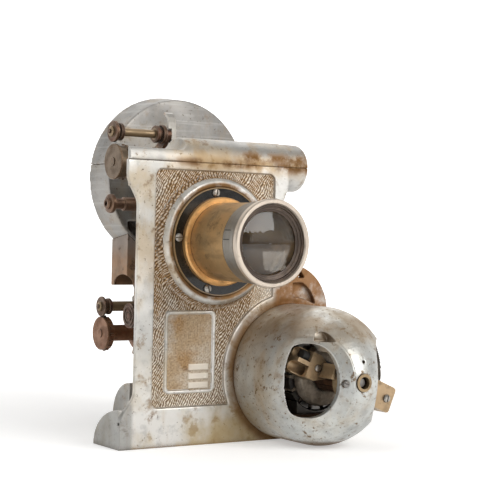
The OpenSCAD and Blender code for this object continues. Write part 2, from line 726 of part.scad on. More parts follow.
core_y = [-34, -8];
core_r = 44;
armature_r = 23;
field_gap = 1;
pole_half_w = 17;
module field_core() {
    color(COL_STEEL) slab_y(core_y[0], core_y[1]) translate([motor_x, motor_z]) difference() {
        circle(r = core_r);
        difference() {
            circle(r = core_r - 6);
            for (side = [-1, 1]) translate([-pole_half_w, side > 0 ? 0 : -core_r]) square([2 * pole_half_w, core_r]);
        }
        circle(r = armature_r + field_gap);
    }
}
coil_w = 6;
module field_coils() {
    color(COL_COPPER) for (side = [-1, 1]) difference() {
        slab_y(core_y[0] - coil_w, core_y[1] + coil_w - 1) translate([motor_x, motor_z])
            intersection() {
                translate([-pole_half_w - coil_w, side > 0 ? 25 : -35]) square([2 * (pole_half_w + coil_w), 10]);
                circle(r = core_r - 6);
            }
        block([motor_x - pole_half_w, motor_x + pole_half_w], [core_y[0], core_y[1]],
            [motor_z - 50, motor_z + 50]);
    }
}
module motor_shaft() {
    color(COL_STEEL) turned_y(motor_x, motor_z) polygon([[0, -81.5], [2.6, -81.5], [3.2, -80.9], [3.2, -78],
        [motor_bearing_r, -77.4], [motor_bearing_r, 21], [0, 21]]);
}
slots = 14;
module armature_core() {
    color(COL_STEEL) slab_y(core_y[0] + 2, core_y[1] - 2) translate([motor_x, motor_z]) difference() {
        circle(r = armature_r);
        circle(r = motor_bearing_r);
        for (i = [0 : slots - 1]) rotate(360 * i / slots) translate([armature_r - 4.5, -1.6]) square([10, 3.2]);
    }
}
module winding_end(y0, y1) {
    turned_y(motor_x, motor_z) polygon([[motor_bearing_r, y0], [19.5, y0], [20.5, y0 + (y1 - y0) * 0.3],
        [20.5, y0 + (y1 - y0) * 0.7], [19.5, y1], [motor_bearing_r, y1]]);
}
module armature_windings() {
    color(COL_COPPER) {
        winding_end(core_y[0] - 8, core_y[0] + 2);
        winding_end(core_y[1] - 2, core_y[1] + 6);
        slab_y(core_y[0] + 2, core_y[1] - 2) translate([motor_x, motor_z]) for (i = [0 : slots - 1])
            rotate(360 * i / slots) translate([armature_r - 4.5, -1.6]) square([3.7, 3.2]);
    }
}
commutator_r = 9.5;
module commutator() {
    color(COL_COPPER) slab_y(-66, -42.2) translate([motor_x, motor_z]) difference() {
        circle(r = commutator_r);
        circle(r = motor_bearing_r);
        for (i = [0 : slots - 1]) rotate(360 * i / slots) translate([commutator_r - 0.7, -0.2]) square([2, 0.4]);
    }
}

// Brass yoke with a brush tube on each side; the two tubes stand at different depths
yoke_angle = 157;
left_arm_y = [-58, -46];
right_arm_y = [-70, -58];
yoke_ring_y = [-75.5, -69.2];
yoke_riser_y = -72.5;
arm_h = 17.6;
tube_r = 3.4;
tube_h = 4.9;
yoke_screw_at = [20, 33];
// Arm of the yoke, narrow at the ring and full height at its outer end
module yoke_arm(y, r1) {
    h = arm_h / 2;
    slab_y(y[0], y[1]) polygon([[11, -4.5], [20, -h], [r1 - 2, -h], [r1 - 0.6, 0.6 - h], [r1, 2 - h], [r1, h - 2],
        [r1 - 0.6, h - 0.6], [r1 - 2, h], [20, h], [11, 4.5]]);
    slab_y(yoke_riser_y, y[0] + 1) polygon([[11, -4], [17.4, -5], [17.4, 5], [11, 4]]);
}
module brush_yoke() {
    color(COL_BRASS) translate([motor_x, 0, motor_z]) difference() {
        union() {
            rod_y(0, 0, boss_r + 4.5, yoke_ring_y[0], yoke_ring_y[1]);
            rotate([0, -yoke_angle, 0]) yoke_arm(left_arm_y, 37);
            rotate([0, 180 - yoke_angle, 0]) yoke_arm(right_arm_y, 38.5);
        }
        rod_y(0, 0, boss_r + running_gap, -90, -68.9);
        rod_y(0, 0, commutator_r + 1.5, -69, -40);
        yoke_screw_holes();
        rotate([0, -yoke_angle, 0]) {
            brush_tubes(left_arm_y);
            // the left pair of tubes is open at the front near its end, with the web left between them
            for (side = [-1, 1]) block([27, 40], [left_arm_y[0] - 1, mid_y(left_arm_y)],
                side > 0 ? [tube_h - tube_r - 0.1, 12] : [-12, tube_r - tube_h + 0.1]);
        }
        rotate([0, 180 - yoke_angle, 0]) brush_tubes(right_arm_y);
    }
}
function mid_y(y) = (y[0] + y[1]) / 2;
module brush_tubes(y) {
    for (h = [-tube_h, tube_h]) translate([10, mid_y(y), h]) rotate([0, 90, 0]) cylinder(r = tube_r, h = 40);
}
module brushes() {
    color(COL_BLACK) translate([motor_x, 0, motor_z]) {
        rotate([0, -yoke_angle, 0]) translate([0, mid_y(left_arm_y), -tube_h]) brush(tube_h, 26);
        rotate([0, 180 - yoke_angle, 0]) translate([0, mid_y(right_arm_y), tube_h]) brush(-tube_h, 20);
    }
}
module brush(off, length) {
    difference() {
        translate([6, 0, 0]) rotate([0, 90, 0]) cylinder(r = tube_r, h = length);
        translate([0, 20, off]) rotate([90, 0, 0]) cylinder(r = commutator_r + 0.3, h = 40);
    }
}
module yoke_screw_holes() {
    rotate([0, -yoke_angle, 0]) rod_y(yoke_screw_at[0], 0, 2.2 * 0.55, left_arm_y[0] - 1, left_arm_y[0] + 3);
    rotate([0, 180 - yoke_angle, 0]) rod_y(yoke_screw_at[1], 0, 2.6 * 0.55, right_arm_y[0] - 1, right_arm_y[0] + 3);
}
module yoke_screws() {
    color(COL_NICKEL) translate([motor_x, 0, motor_z]) {
        rotate([0, -yoke_angle, 0]) slotted_screw_y(yoke_screw_at[0], 0, 2.2, left_arm_y[0], 3, 60);
        rotate([0, 180 - yoke_angle, 0]) slotted_screw_y(yoke_screw_at[1], 0, 2.6, right_arm_y[0], 3, 75);
    }
}

module motor_pinion() {
    color(COL_STEEL) gear_y([motor_x, motor_z], main_gear_row, motor_pinion_teeth, fine_module, motor_turn,
        motor_bearing_r);
}
module main_gear() {
    color(COL_BRASS) gear_y(main_at, main_gear_row, main_gear_teeth, fine_module, main_turn, shaft_r, 5);
}
module shutter_drive_gear() {
    color(COL_STEEL) gear_y(main_at, shutter_gear_row, shutter_drive_teeth, fine_module, shutter_drive_turn, shaft_r, 6);
}
shaft_back = 178;
module main_shaft() {
    color(COL_STEEL) rod_y(motor_x, main_z, shaft_r, 4, shaft_back);
}
bevel_big = 10;
bevel_small = 5.5;
bevel_module = 2 * bevel_big / bevel_teeth;
module bevel_body(turn) {
    linear_extrude(bevel_big - bevel_small, scale = bevel_small / bevel_big)
        gear_outline(bevel_teeth, bevel_module, turn, bevel_backlash);
}
module main_bevel_gear() {
    color(COL_STEEL) difference() {
        union() {
            translate([motor_x, beater_at[0] - bevel_big, main_z]) rotate([-90, 0, 0]) bevel_body(180);
            rod_y(motor_x, main_z, 7, beater_at[0] - bevel_big - 5, beater_at[0] - bevel_big);
        }
        rod_y(motor_x, main_z, shaft_r, 0, 150);
    }
}
module beater_bevel_gear() {
    color(COL_STEEL) difference() {
        union() {
            translate([motor_x - bevel_big, beater_at[0], main_z]) rotate([90, 0, 90])
                bevel_body(180 + 180 / bevel_teeth);
            rod_x(beater_at, 7, motor_x - bevel_big - 5, motor_x - bevel_big);
        }
        rod_x(beater_at, shaft_r, 0, 100);
    }
}
module belt_wheel_shape(r, y, half_w) {
    turned_y(motor_x, y) polygon([[0, belt_y - half_w], [r + belt_r, belt_y - half_w],
        [r - belt_r - 0.4, belt_y - 2.5], [r - belt_r - 0.4, belt_y + 2.5], [r + belt_r, belt_y + half_w],
        [0, belt_y + half_w]]);
}
module belt_wheel() {
    color(COL_STEEL) difference() {
        belt_wheel_shape(belt_low_r, main_z, 4);
        rod_y(motor_x, main_z, shaft_r, 150, 190);
    }
}
module flywheel_shaft() {
    color(COL_STEEL) rod_y(motor_x, drum_z, 4, 143, drum_front_y + drum_w + 3);
}
module flywheel() {
    color(COL_STEEL) difference() {
        belt_wheel_shape(belt_high_r, drum_z, 4);
        rod_y(motor_x, drum_z, 4, 150, 190);
        turned_y(motor_x, drum_z) polygon([[12, belt_y - 5], [38, belt_y - 5], [36, belt_y - 1.5], [14, belt_y - 1.5]]);
        turned_y(motor_x, drum_z) polygon([[12, belt_y + 5], [38, belt_y + 5], [36, belt_y + 1.5], [14, belt_y + 1.5]]);
        for (i = [0 : 5]) rotate_about(motor_x, drum_z, 60 * i) rod_y(motor_x + 25, drum_z, 8, 150, 190);
    }
}
module rotate_about(x, z, angle) {
    translate([x, 0, z]) rotate([0, angle, 0]) translate([-x, 0, -z]) children();
}
belt_lean = asin((belt_high_r - belt_low_r) / (drum_z - main_z));
function belt_loop(grow) = concat(
    [for (i = [0 : 24]) [motor_x, drum_z] + polar(belt_high_r + grow, -belt_lean + (180 + 2 * belt_lean) * i / 24)],
    [for (i = [0 : 16]) [motor_x, main_z] + polar(belt_low_r + grow, 180 + belt_lean + (180 - 2 * belt_lean) * i / 16)]);
module drive_belt() {
    color(COL_BROWN) slab_y(belt_y - 2, belt_y + 2) difference() {
        polygon(belt_loop(belt_r));
        polygon(belt_loop(-belt_r + 0.4));
    }
}

stud_r = 3;
idler_hole_r = stud_r + 0.06;
small_stud_r = 2;
module shutter_gear() {
    color(COL_BRASS) union() {
        gear_y(shutter_at, shutter_gear_row, shutter_teeth, fine_module, shutter_turn, idler_hole_r);
        slab_y(shutter_gear_row[1], 42) translate(shutter_at) difference() {
            circle(r = 7, $fn = 12);
            circle(r = idler_hole_r / cos(15), $fn = 12);
        }
    }
}
blade_r = 46.5;
blade_angle = 110;
module shutter_blade() {
    color(COL_BLACK) slab_y(38, 39.2) translate(shutter_at) difference() {
        union() {
            circle(r = 15);
            polygon(concat([[0, 0]], [for (i = [0 : 12]) polar(blade_r, 150 - blade_angle / 2 + blade_angle * i / 12)]));
            polygon(concat([[0, 0]], [for (i = [0 : 8]) polar(30, 330 - 40 + 80 * i / 8)]));
        }
        circle(r = 7, $fn = 12);
    }
}

module beater_shaft() {
    color(COL_STEEL) union() {
        rod_x(beater_at, shaft_r, roller_half_w - 2, motor_x - 5.6);
        gear_x(beater_at, gear_row, beater_pinion_teeth, coarse_module, beater_turn, shaft_r - 1);
    }
}
// Two flanges with an off-centre roller between them that strikes the film down
beater_flange_r = 8.8;
module film_beater() {
    color(COL_BRONZE) union() {
        turned_x(beater_at) polygon([[0, -22.6], [2.2, -22.6], [2.2, -22], [3, -22], [3, -22.7], [3.9, -22.7],
            [3.9, -22], [6, -22], [6, -22.6], [6.9, -22.6], [6.9, -22], [beater_flange_r, -22],
            [beater_flange_r, -19.5], [0, -19.5]]);
        rod_x(beater_at, beater_flange_r, 18, roller_half_w - 2);
        rod_x([beater_at[0] - 4, beater_at[1]], 3.6, -20, 18.5);
        rod_x(beater_at, 2.4, -20, 18.5);
    }
}

module lower_shaft() {
    color(COL_STEEL) rod_x(lower_at, shaft_r, -22, gear_row[1] + 1);
}
module lower_gear() {
    color(COL_BRASS) gear_x(lower_at, gear_row, lower_gear_teeth, coarse_module, lower_turn, shaft_r, 6);
}
// Film sprocket: toothed rims at the perforations, a thinner barrel between them
module sprocket_tooth() {
    polygon([[-1.1, -0.5], [1.1, -0.5], [0.6, 1.1], [-0.6, 1.1]]);
}
module sprocket(at, disc_r, barrel, shift = 0) {
    rim_w = 4.2;
    rows = [shift - perforation_gauge / 2, shift + perforation_gauge / 2];
    difference() {
        union() {
            turned_x(at) polygon([[0, -23], [3.2, -23], [3.2, -22.4], [disc_r - 0.4, -22.4], [disc_r, -22],
                [disc_r, -20.6], [sprocket_r, -20.6], [sprocket_r, rows[0] + rim_w / 2],
                [barrel, rows[0] + rim_w / 2 + 1.2], [barrel, rows[1] - rim_w / 2 - 1.2], [sprocket_r, rows[1] - rim_w / 2],
                [sprocket_r, rows[1] + rim_w / 2], [0, rows[1] + rim_w / 2]]);
            for (x = rows, i = [0 : sprocket_teeth - 1])
                translate([x, at[0], at[1]]) rotate([360 * i / sprocket_teeth, 0, 0])
                    translate([-0.9, 0, sprocket_r]) rotate([90, 0, 90]) linear_extrude(1.8) sprocket_tooth();
        }
        rod_x(at, shaft_r, -22, 40);
    }
}
module lower_sprocket() {
    color(COL_BRONZE) sprocket(lower_at, 12.3, 6, -4.7);
}
module upper_sprocket() {
    color(COL_BRONZE) sprocket(upper_at, 13, 9);
}
module upper_shaft() {
    color(COL_STEEL) union() {
        rod_x(upper_at, shaft_r, -22, gear_row_outer[1] + 1);
        gear_x(upper_at, gear_row_outer, upper_gear_teeth, coarse_module, upper_turn, shaft_r - 1);
    }
}
module double_idler() {
    color(COL_BRASS) union() {
        gear_x(double_at, gear_row, idler_large_teeth, coarse_module, double_turn, idler_hole_r, 6);
        gear_x(double_at, [gear_row[1], gear_row_outer[1]], idler_small_teeth, coarse_module, double_turn, idler_hole_r);
    }
}
module single_idler() {
    color(COL_STEEL) gear_x(single_at, gear_row_outer, idler_single_teeth, coarse_module, single_turn, idler_hole_r);
}
// Plain studs that the idlers, the shutter and the guide roller turn on
module fixed_studs() {
    color(COL_STEEL) {
        for (at = [double_at, single_at]) {
            rod_x(at, stud_r, wall_row[0], gear_row_outer[1] + 0.5);
            rod_x(at, 5.5, gear_row_outer[1] + 0.6, gear_row_outer[1] + 2.5);
        }
        rod_x(single_at, 3.5, wall_row[1], gear_row_outer[0] - 0.4);
        rod_x(double_at, 6, wall_row[1], gear_row[0] - 0.4);
        rod_y(shutter_at[0], shutter_at[1], stud_r, 5, 43);
        rod_y(shutter_at[0], shutter_at[1], 5, 43, 45);
        rod_y(shutter_at[0], shutter_at[1], 6, plate_t, shutter_gear_row[0] - 0.4);
        rod_x(guide_at, small_stud_r, -22, wall_row[1]);
    }
}

// Side plate of a swinging arm, between its pivot and its roller
module arm_plate(pivot, roller, r) {
    a = bearing(pivot, roller);
    slab_x(arm_row[0], arm_row[1]) {
        translate(pivot) circle(r = r);
        translate(roller) circle(r = r - 0.8);
        translate(pivot) rotate(a) translate([0, -r * 0.75]) square([norm(roller - pivot), r * 1.5]);
    }
}
module upper_pad_arm() {
    color(COL_BRONZE) union() {
        arm_plate(upper_pivot_at, upper_roller_at, 5);
        rod_x(upper_pivot_at, small_stud_r - running_gap, arm_row[0], wall_row[1] + 2);
        rod_x(upper_roller_at, 1.6, -roller_half_w - 2.6, arm_row[0] + 1);
    }
}
// Flat nickel finger, curled back at its top, that lifts the upper arm
module pad_lever() {
    y = upper_roller_at[0];
    color(COL_NICKEL) difference() {
        union() {
            slab_x(22.8, 29.2) polygon([[y - 3.4, 219.2], [y - 1.8, 219.2], [y - 1.8, 223], [y - 0.6, 226.4],
                [y + 2.4, 229.2], [y + 4, 230], [y + 3.4, 231.4], [y + 0.8, 230.4], [y - 2, 227.6], [y - 3.4, 223.6]]);
            block([25.7, 29.2], [y - 3.4, y + 3.6], [209, 220]);
        }
        rod_x(upper_roller_at, 1.7, 20, 26.8);
    }
}
module lower_pad_arm() {
    color(COL_BRONZE) union() {
        arm_plate(lower_pivot_at, lower_roller_at, 4.6);
        rod_x(lower_pivot_at, small_stud_r - running_gap, arm_row[0], wall_row[1] + 2);
        rod_x(lower_roller_at, 1.6, -roller_half_w - 2.6, arm_row[0] + 1);
    }
}
// Film roller turned from the bar: small cap, front disc, neck, second disc, thin core, two discs.
// Each disc is given as radius, left and right face
module disc_roller(at, cap_r, discs, neck_r, core_r) {
    difference() {
        turned_x(at) polygon(concat([[0, discs[0][1] - 1.8], [cap_r - 0.7, discs[0][1] - 1.8], [cap_r, discs[0][1] - 1.1],
            [cap_r, discs[0][1]]],
            [for (i = [0 : 3]) let(d = discs[i]) each [[d[0] - 0.5, d[1]], [d[0], d[1] + 0.5], [d[0], d[2] - 0.5],
                [d[0] - 0.5, d[2]], [i == 3 ? 0 : i == 1 ? core_r : neck_r, d[2]],
                if (i < 3) [i == 1 ? core_r : neck_r, discs[i + 1][1]]]]));
        rod_x(at, 1.6 + running_gap, -30, 30);
    }
}
module upper_pad_roller() {
    color(COL_BRONZE) disc_roller(upper_roller_at, 3.8,
        [[7.8, -22.6, -19.9], [6.4, -17.8, -14.8], [6.4, 12.6, 15.4], [7.2, 17.6, 20.6]], 5, 3);
}
module lower_pad_roller() {
    color(COL_BRONZE) disc_roller(lower_roller_at, 3.4,
        [[7.4, -23, -21], [6, -18, -15.4], [6, 12.6, 15], [6.8, 17.6, 20.6]], 4.8, 3.7);
}
module guide_roller() {
    half = roller_half_w;
    color(COL_BRONZE) difference() {
        turned_x(guide_at) polygon([[0, -half - 1.6], [3.2, -half - 1.6], [4.4, -half - 0.8], [4.4, -half + 0.4],
            [6.6, -half + 0.8], [7, -half + 1.4], [7, -half + 3.6], [3.9, -half + 4.6], [3.9, -half + 12],
            [5, -half + 12.6], [5, half - 7], [7, half - 6], [7, half - 2], [0, half - 2]]);
        rod_x(guide_at, small_stud_r + running_gap, -half - 2, half);
    }
}

gate_y = 66;
gate_t = 2;
gate_low = 106;
gate_high = 172;
hinge_at = [22.3, 74];
hinge_r = 1.5;
knob_face_y = gate_y + gate_t + 6.6;
knob_at = [-18, 94.3];
module aperture_opening(y0, y1) {
    block([-aperture_w / 2, aperture_w / 2], [y0, y1], [lens_z - aperture_h / 2, lens_z + aperture_h / 2]);
}
module aperture_plate() {
    color(COL_STEEL) difference() {
        union() {
            block([-21, 22], [gate_y, gate_y + gate_t], [gate_low, gate_high]);
            block([20, wall_row[0]], [gate_y - 4, gate_y + gate_t], [gate_low, gate_high]);
            for (z = [gate_low - 5, gate_high]) block([19.5, wall_row[0]], [gate_y - 4, hinge_at[1] + 3], [z, z + 4]);
            block([20, wall_row[0]], [gate_y - 4, gate_y + gate_t], [gate_low - 5, gate_low + 1]);
            translate([hinge_at[0], hinge_at[1], gate_low - 5]) cylinder(r = hinge_r, h = gate_high - gate_low + 9);
        }
        aperture_opening(gate_y - 5, gate_y + 5);
    }
}
module gate_door() {
    color(COL_BRONZE) difference() {
        union() {
            block([-20, 20], [gate_y + gate_t + 0.4, gate_y + gate_t + 3], [gate_low + 3, gate_high - 3]);
            block([15, hinge_at[0]], [gate_y + gate_t + 3, hinge_at[1] + 2.4], [gate_low + 6, gate_high - 6]);
            translate([hinge_at[0], hinge_at[1], gate_low + 6]) cylinder(r = 3, h = gate_high - gate_low - 12);
            block([-20.5, -15.5], [gate_y + gate_t + 2, knob_face_y], [gate_low + 3, gate_low + 8]);
            block([-20.5, -15.5], [knob_face_y - 1.6, knob_face_y], [knob_at[1] - 2.4, gate_low + 8]);
        }
        aperture_opening(gate_y, gate_y + 12);
        translate([hinge_at[0], hinge_at[1], 90]) cylinder(r = hinge_r + running_gap, h = 100);
    }
}
module gate_knob() {
    color(COL_NICKEL) union() {
        translate([knob_at[0], knob_face_y + 2.5, knob_at[1]]) sphere(r = 2.5);
        rod_y(knob_at[0], knob_at[1], 1.4, knob_face_y, knob_face_y + 2);
    }
}
// Curved brown strip that leads the film down in front of the beater
chute_r = 70;
module film_chute() {
    centre = [beater_at[0] - 9.6 + chute_r, beater_at[1] - 4];
    color(COL_BROWN) union() {
        slab_x(-22, 20) polygon(concat(
            [for (i = [0 : 10]) centre + polar(chute_r, 162.5 + 36 * i / 10)],
            [for (i = [10 : -1 : 0]) centre + polar(chute_r + 1.4, 162.5 + 36 * i / 10)]));
        block([18, wall_row[0]], [69.5 + 0.3, 74], [60, 64]);
    }
}

placed() front_casting();
placed() top_cover();
placed() mechanism_wall();
placed() rear_frame();
placed() top_arm();
placed() drum_lower_shell();
placed() drum_upper_shell();
placed() belt_guard();
placed() case_screws();
placed() lens_mount_ring();
placed() ring_screws();
placed() focus_sleeve();
placed() lens_barrel();
placed() lens_collar();
placed() front_lens();
placed() lens_retaining_ring();
placed() rear_lens();
placed() motor_shell();
placed() field_core();
placed() field_coils();
placed() nose_bush();
placed() motor_shaft();
placed() armature_core();
placed() armature_windings();
placed() commutator();
placed() brush_yoke();
placed() brushes();
placed() yoke_screws();
placed() motor_pinion();
placed() main_shaft();
placed() main_gear();
placed() main_bevel_gear();
placed() shutter_drive_gear();
placed() belt_wheel();
placed() shutter_gear();
placed() shutter_blade();
placed() beater_shaft();
placed() beater_bevel_gear();
placed() film_beater();
placed() lower_shaft();
placed() lower_gear();
placed() lower_sprocket();
placed() upper_shaft();
placed() upper_sprocket();
placed() double_idler();
placed() single_idler();
placed() fixed_studs();
placed() flywheel();
placed() flywheel_shaft();
placed() drive_belt();
placed() upper_pad_arm();
placed() pad_lever();
placed() upper_pad_roller();
placed() lower_pad_arm();
placed() lower_pad_roller();
placed() guide_roller();
placed() aperture_plate();
placed() gate_door();
placed() gate_knob();
placed() film_chute();
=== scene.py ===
# %% [markdown]
# # An early motor-driven film projector
#
# This notebook dresses the solid model of a cast-alloy film projector until it looks like the old
# machine. Every step then takes one piece or one finish, says what it is on the real machine, and
# makes it.

# %% Tools and the frame
import json
import math

import bmesh
import bpy
from mathutils import Matrix, Vector, noise


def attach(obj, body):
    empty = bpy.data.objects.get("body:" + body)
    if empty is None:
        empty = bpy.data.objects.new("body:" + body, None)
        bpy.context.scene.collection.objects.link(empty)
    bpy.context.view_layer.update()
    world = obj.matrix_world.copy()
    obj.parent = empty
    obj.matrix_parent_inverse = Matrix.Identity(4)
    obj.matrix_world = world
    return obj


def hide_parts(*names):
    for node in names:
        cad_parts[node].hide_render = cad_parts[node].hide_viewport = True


MM = 0.001
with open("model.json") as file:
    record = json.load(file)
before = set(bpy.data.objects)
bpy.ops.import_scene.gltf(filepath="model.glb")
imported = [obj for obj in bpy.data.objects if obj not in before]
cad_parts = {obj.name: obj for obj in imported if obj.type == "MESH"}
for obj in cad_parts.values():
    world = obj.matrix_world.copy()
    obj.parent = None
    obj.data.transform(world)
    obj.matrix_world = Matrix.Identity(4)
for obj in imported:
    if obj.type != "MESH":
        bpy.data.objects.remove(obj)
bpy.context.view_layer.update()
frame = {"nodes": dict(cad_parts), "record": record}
nodes = frame["nodes"]
slot_of = {part["node"]: part["material_slot"] for part in frame["record"]["subparts"]}
print("parts loaded:", len(nodes))

# %% [markdown]
# The camera stands where the photographer stood: to the left of the machine's front, level with
# the lens. It could be aimed with a Track To constraint, but a rolled camera is easier to state as
# three turns in a row. The angles and the long lens were worked out from the front plate's edges.

# %% The camera
CAMERA_PLACE = (-0.50394, -0.81338, 0.14265)
CAMERA_TURN = 33.5
CAMERA_PITCH = -0.696
CAMERA_ROLL = 1.3
CAMERA_LENS = 100.8

camera_data = bpy.data.cameras.new("photo_camera")
camera_data.lens = CAMERA_LENS
camera_data.sensor_width = 36.0
camera_data.sensor_fit = "AUTO"
camera = bpy.data.objects.new("photo_camera", camera_data)
bpy.context.collection.objects.link(camera)
turn = Matrix.Rotation(math.radians(-CAMERA_TURN), 4, "Z")
pitch = Matrix.Rotation(math.radians(90 + CAMERA_PITCH), 4, "X")
roll = Matrix.Rotation(math.radians(CAMERA_ROLL), 4, "Z")
camera.matrix_world = Matrix.Translation(CAMERA_PLACE) @ turn @ pitch @ roll

scene = bpy.context.scene
scene.camera = camera
scene.view_settings.view_transform = "Standard"
print("camera lens in mm:", CAMERA_LENS)

# %% [markdown]
# A studio lights a metal machine with large soft boxes, because metal mirrors its lamps and a
# small lamp would leave hard white dots. Area lamps are the same thing in Blender. The key lamp
# stands in front on the right, a weak one fills the left side, and one above draws the top edges.

# %% The lamps
WARM_LIGHT = (1.0, 0.985, 0.96)
COOL_LIGHT = (0.97, 0.99, 1.0)
WHITE = (1.0, 1.0, 1.0)


def add_object(name, mesh_or_light):
    thing = bpy.data.objects.new(name, mesh_or_light)
    bpy.context.collection.objects.link(thing)
    return thing


def soft_lamp(name, place, target, size, power, colour):
    lamp = bpy.data.lights.new(name, "AREA")
    lamp.shape = "RECTANGLE"
    lamp.size = size[0]
    lamp.size_y = size[1]
    lamp.energy = power
    lamp.color = colour
    thing = add_object(name, lamp)
    thing.location = place
    aim = Vector(target) - Vector(place)
    thing.rotation_euler = aim.to_track_quat("-Z", "Y").to_euler()
    print(name, "gives", power, "watts")


soft_lamp("key_lamp", (0.45, -1.25, 0.75), (0.02, 0, 0.12), (1.0, 0.8), 12.0, WARM_LIGHT)
soft_lamp("left_lamp", (-1.1, -0.2, 0.8), (0.03, 0, 0.12), (0.6, 0.8), 2.1, COOL_LIGHT)
soft_lamp("top_lamp", (0.1, 0.3, 1.3), (0.03, 0, 0.1), (1.0, 0.8), 3.4, WHITE)

# %% [markdown]
# The world, the floor and every finish are networks of small nodes. Written out one by one they
# take pages, so a helper adds each kind in one line. An input may be a plain value or the output
# of another node, and feed tells the two apart.

# %% Helpers that add one node
def feed(tree, socket, item):
    """Sets a socket to a plain number or tuple, or links another node's output to it."""
    if isinstance(item, tuple) and len(item) < len(socket.default_value):
        socket.default_value = (*item, 1)
    elif isinstance(item, (int, float, tuple)):
        socket.default_value = item
    else:
        tree.links.new(item, socket)


def math_node(tree, operation, *items, clamp=False):
    node = tree.nodes.new("ShaderNodeMath")
    node.operation = operation
    node.use_clamp = clamp
    for socket, item in zip(node.inputs, items):
        feed(tree, socket, item)
    return node.outputs[0]


def vector_node(tree, operation, first, second):
    node = tree.nodes.new("ShaderNodeVectorMath")
    node.operation = operation
    feed(tree, node.inputs[0], first)
    feed(tree, node.inputs[1], second)
    return node


print("helpers made: feed, math_node, vector_node")

# %% [markdown]
# Two more helpers carry most of the looks. A mask is a number from 0 to 1 at each point of a surface.
# A smooth range makes a mask from a measure, and a mix lays one colour over another where the mask
# is high.

# %% Helpers for masks and colours
def smooth_range(tree, value, low, high, out_low=0.0, out_high=1.0):
    """Rises smoothly from out_low to out_high while the value goes from low to high."""
    node = tree.nodes.new("ShaderNodeMapRange")
    node.interpolation_type = "SMOOTHSTEP"
    feed(tree, node.inputs["Value"], value)
    feed(tree, node.inputs["From Min"], low)
    feed(tree, node.inputs["From Max"], high)
    feed(tree, node.inputs["To Min"], out_low)
    feed(tree, node.inputs["To Max"], out_high)
    return node.outputs["Result"]


def mix_colour(tree, amount, below, above):
    node = tree.nodes.new("ShaderNodeMix")
    node.data_type = "RGBA"
    feed(tree, node.inputs["Factor"], amount)
    feed(tree, node.inputs[6], below)
    feed(tree, node.inputs[7], above)
    return node.outputs[2]


print("helpers made: smooth_range, mix_colour")

# %% [markdown]
# White all round would light the machine from every side and make it flat. So the world shows
# different things to different rays, which the Light Path node tells apart. The camera sees plain
# white. Mirror rays see white behind the machine and grey towards the camera, as a room is, so that
# polished metal has something dark to reflect. All other rays get a weaker, slightly warm light.

# %% The world
ROOM_GREY = (0.29, 0.287, 0.28)
GREY_UP_TO = 0.55
WHITE_FROM = 0.85
SOFT_LIGHT = (1.0, 0.98, 0.95)
SOFT_STRENGTH = 0.45

world = bpy.data.worlds.new("studio")
scene.world = world
world.use_nodes = True
sky = world.node_tree
sky.nodes.clear()
sky_out = sky.nodes.new("ShaderNodeOutputWorld")
sky_show = sky.nodes.new("ShaderNodeBackground")
sky_light = sky.nodes.new("ShaderNodeBackground")
sky_mix = sky.nodes.new("ShaderNodeMixShader")
rays = sky.nodes.new("ShaderNodeLightPath").outputs
direction = sky.nodes.new("ShaderNodeSeparateXYZ")
feed(sky, direction.inputs[0], sky.nodes.new("ShaderNodeTexCoord").outputs["Generated"])
behind = math_node(sky, "MULTIPLY_ADD", direction.outputs["Y"], 0.5, 0.5)
room = sky.nodes.new("ShaderNodeValToRGB")
feed(sky, room.inputs["Fac"], behind)
room.color_ramp.elements[0].position = GREY_UP_TO
room.color_ramp.elements[0].color = (*ROOM_GREY, 1)
room.color_ramp.elements[1].position = WHITE_FROM
room.color_ramp.elements[1].color = (*WHITE, 1)
mirrored = math_node(sky, "MAXIMUM", rays["Is Glossy Ray"], rays["Is Transmission Ray"])
shown = math_node(sky, "MAXIMUM", rays["Is Camera Ray"], mirrored)
backdrop = mix_colour(sky, rays["Is Camera Ray"], room.outputs["Color"], WHITE)
feed(sky, sky_show.inputs["Color"], backdrop)
feed(sky, sky_light.inputs["Color"], SOFT_LIGHT)
feed(sky, sky_light.inputs["Strength"], SOFT_STRENGTH)
feed(sky, sky_mix.inputs["Fac"], shown)
feed(sky, sky_mix.inputs[1], sky_light.outputs[0])
feed(sky, sky_mix.inputs[2], sky_show.outputs[0])
feed(sky, sky_out.inputs["Surface"], sky_mix.outputs[0])
print("world nodes:", len(sky.nodes))

# %% [markdown]
# A photographer hangs a roll of paper behind the object and lets it run forward over the table, so
# that no line shows where the wall begins. A plane and a wall with a bevel would do. Here one strip
# of faces follows the profile: flat, a quarter circle, and then up.

# %% The shape of the floor
FLOOR_SIDE = 6.0
FLOOR_FRONT = -4.0
BEND_START = 1.6
BEND_R = 0.8
BEND_STEPS = 8
WALL_TOP = 4.0


def sweep_mesh():
    mesh = bpy.data.meshes.new("studio_floor")
    shape = bmesh.new()
    profile = [(FLOOR_FRONT, 0.0), (BEND_START, 0.0)]
    for k in range(1, BEND_STEPS + 1):
        a = math.radians(90 * k / BEND_STEPS)
        profile.append((BEND_START + BEND_R * math.sin(a), BEND_R * (1 - math.cos(a))))
    profile.append((BEND_START + BEND_R, WALL_TOP))
    rows = []
    for y, z in profile:
        rows.append([shape.verts.new((-FLOOR_SIDE, y, z)), shape.verts.new((FLOOR_SIDE, y, z))])
    for a, b in zip(rows, rows[1:]):
        face = shape.faces.new((a[0], a[1], b[1], b[0]))
        face.smooth = True
    shape.to_mesh(mesh)
    shape.free()
    return mesh


floor = add_object("studio_floor", sweep_mesh())
floor.rotation_euler = (0, 0, math.radians(-CAMERA_TURN))
print("floor faces:", len(floor.data.polygons))

# %% [markdown]
# The floor has to look white without throwing light on the machine. A brighter lamp would bleach
# the machine too. Light Path gives a better way: only camera and mirror rays see a glow that brings
# the floor up to white. The glow is weaker near the machine, so that its shadow still shows there.

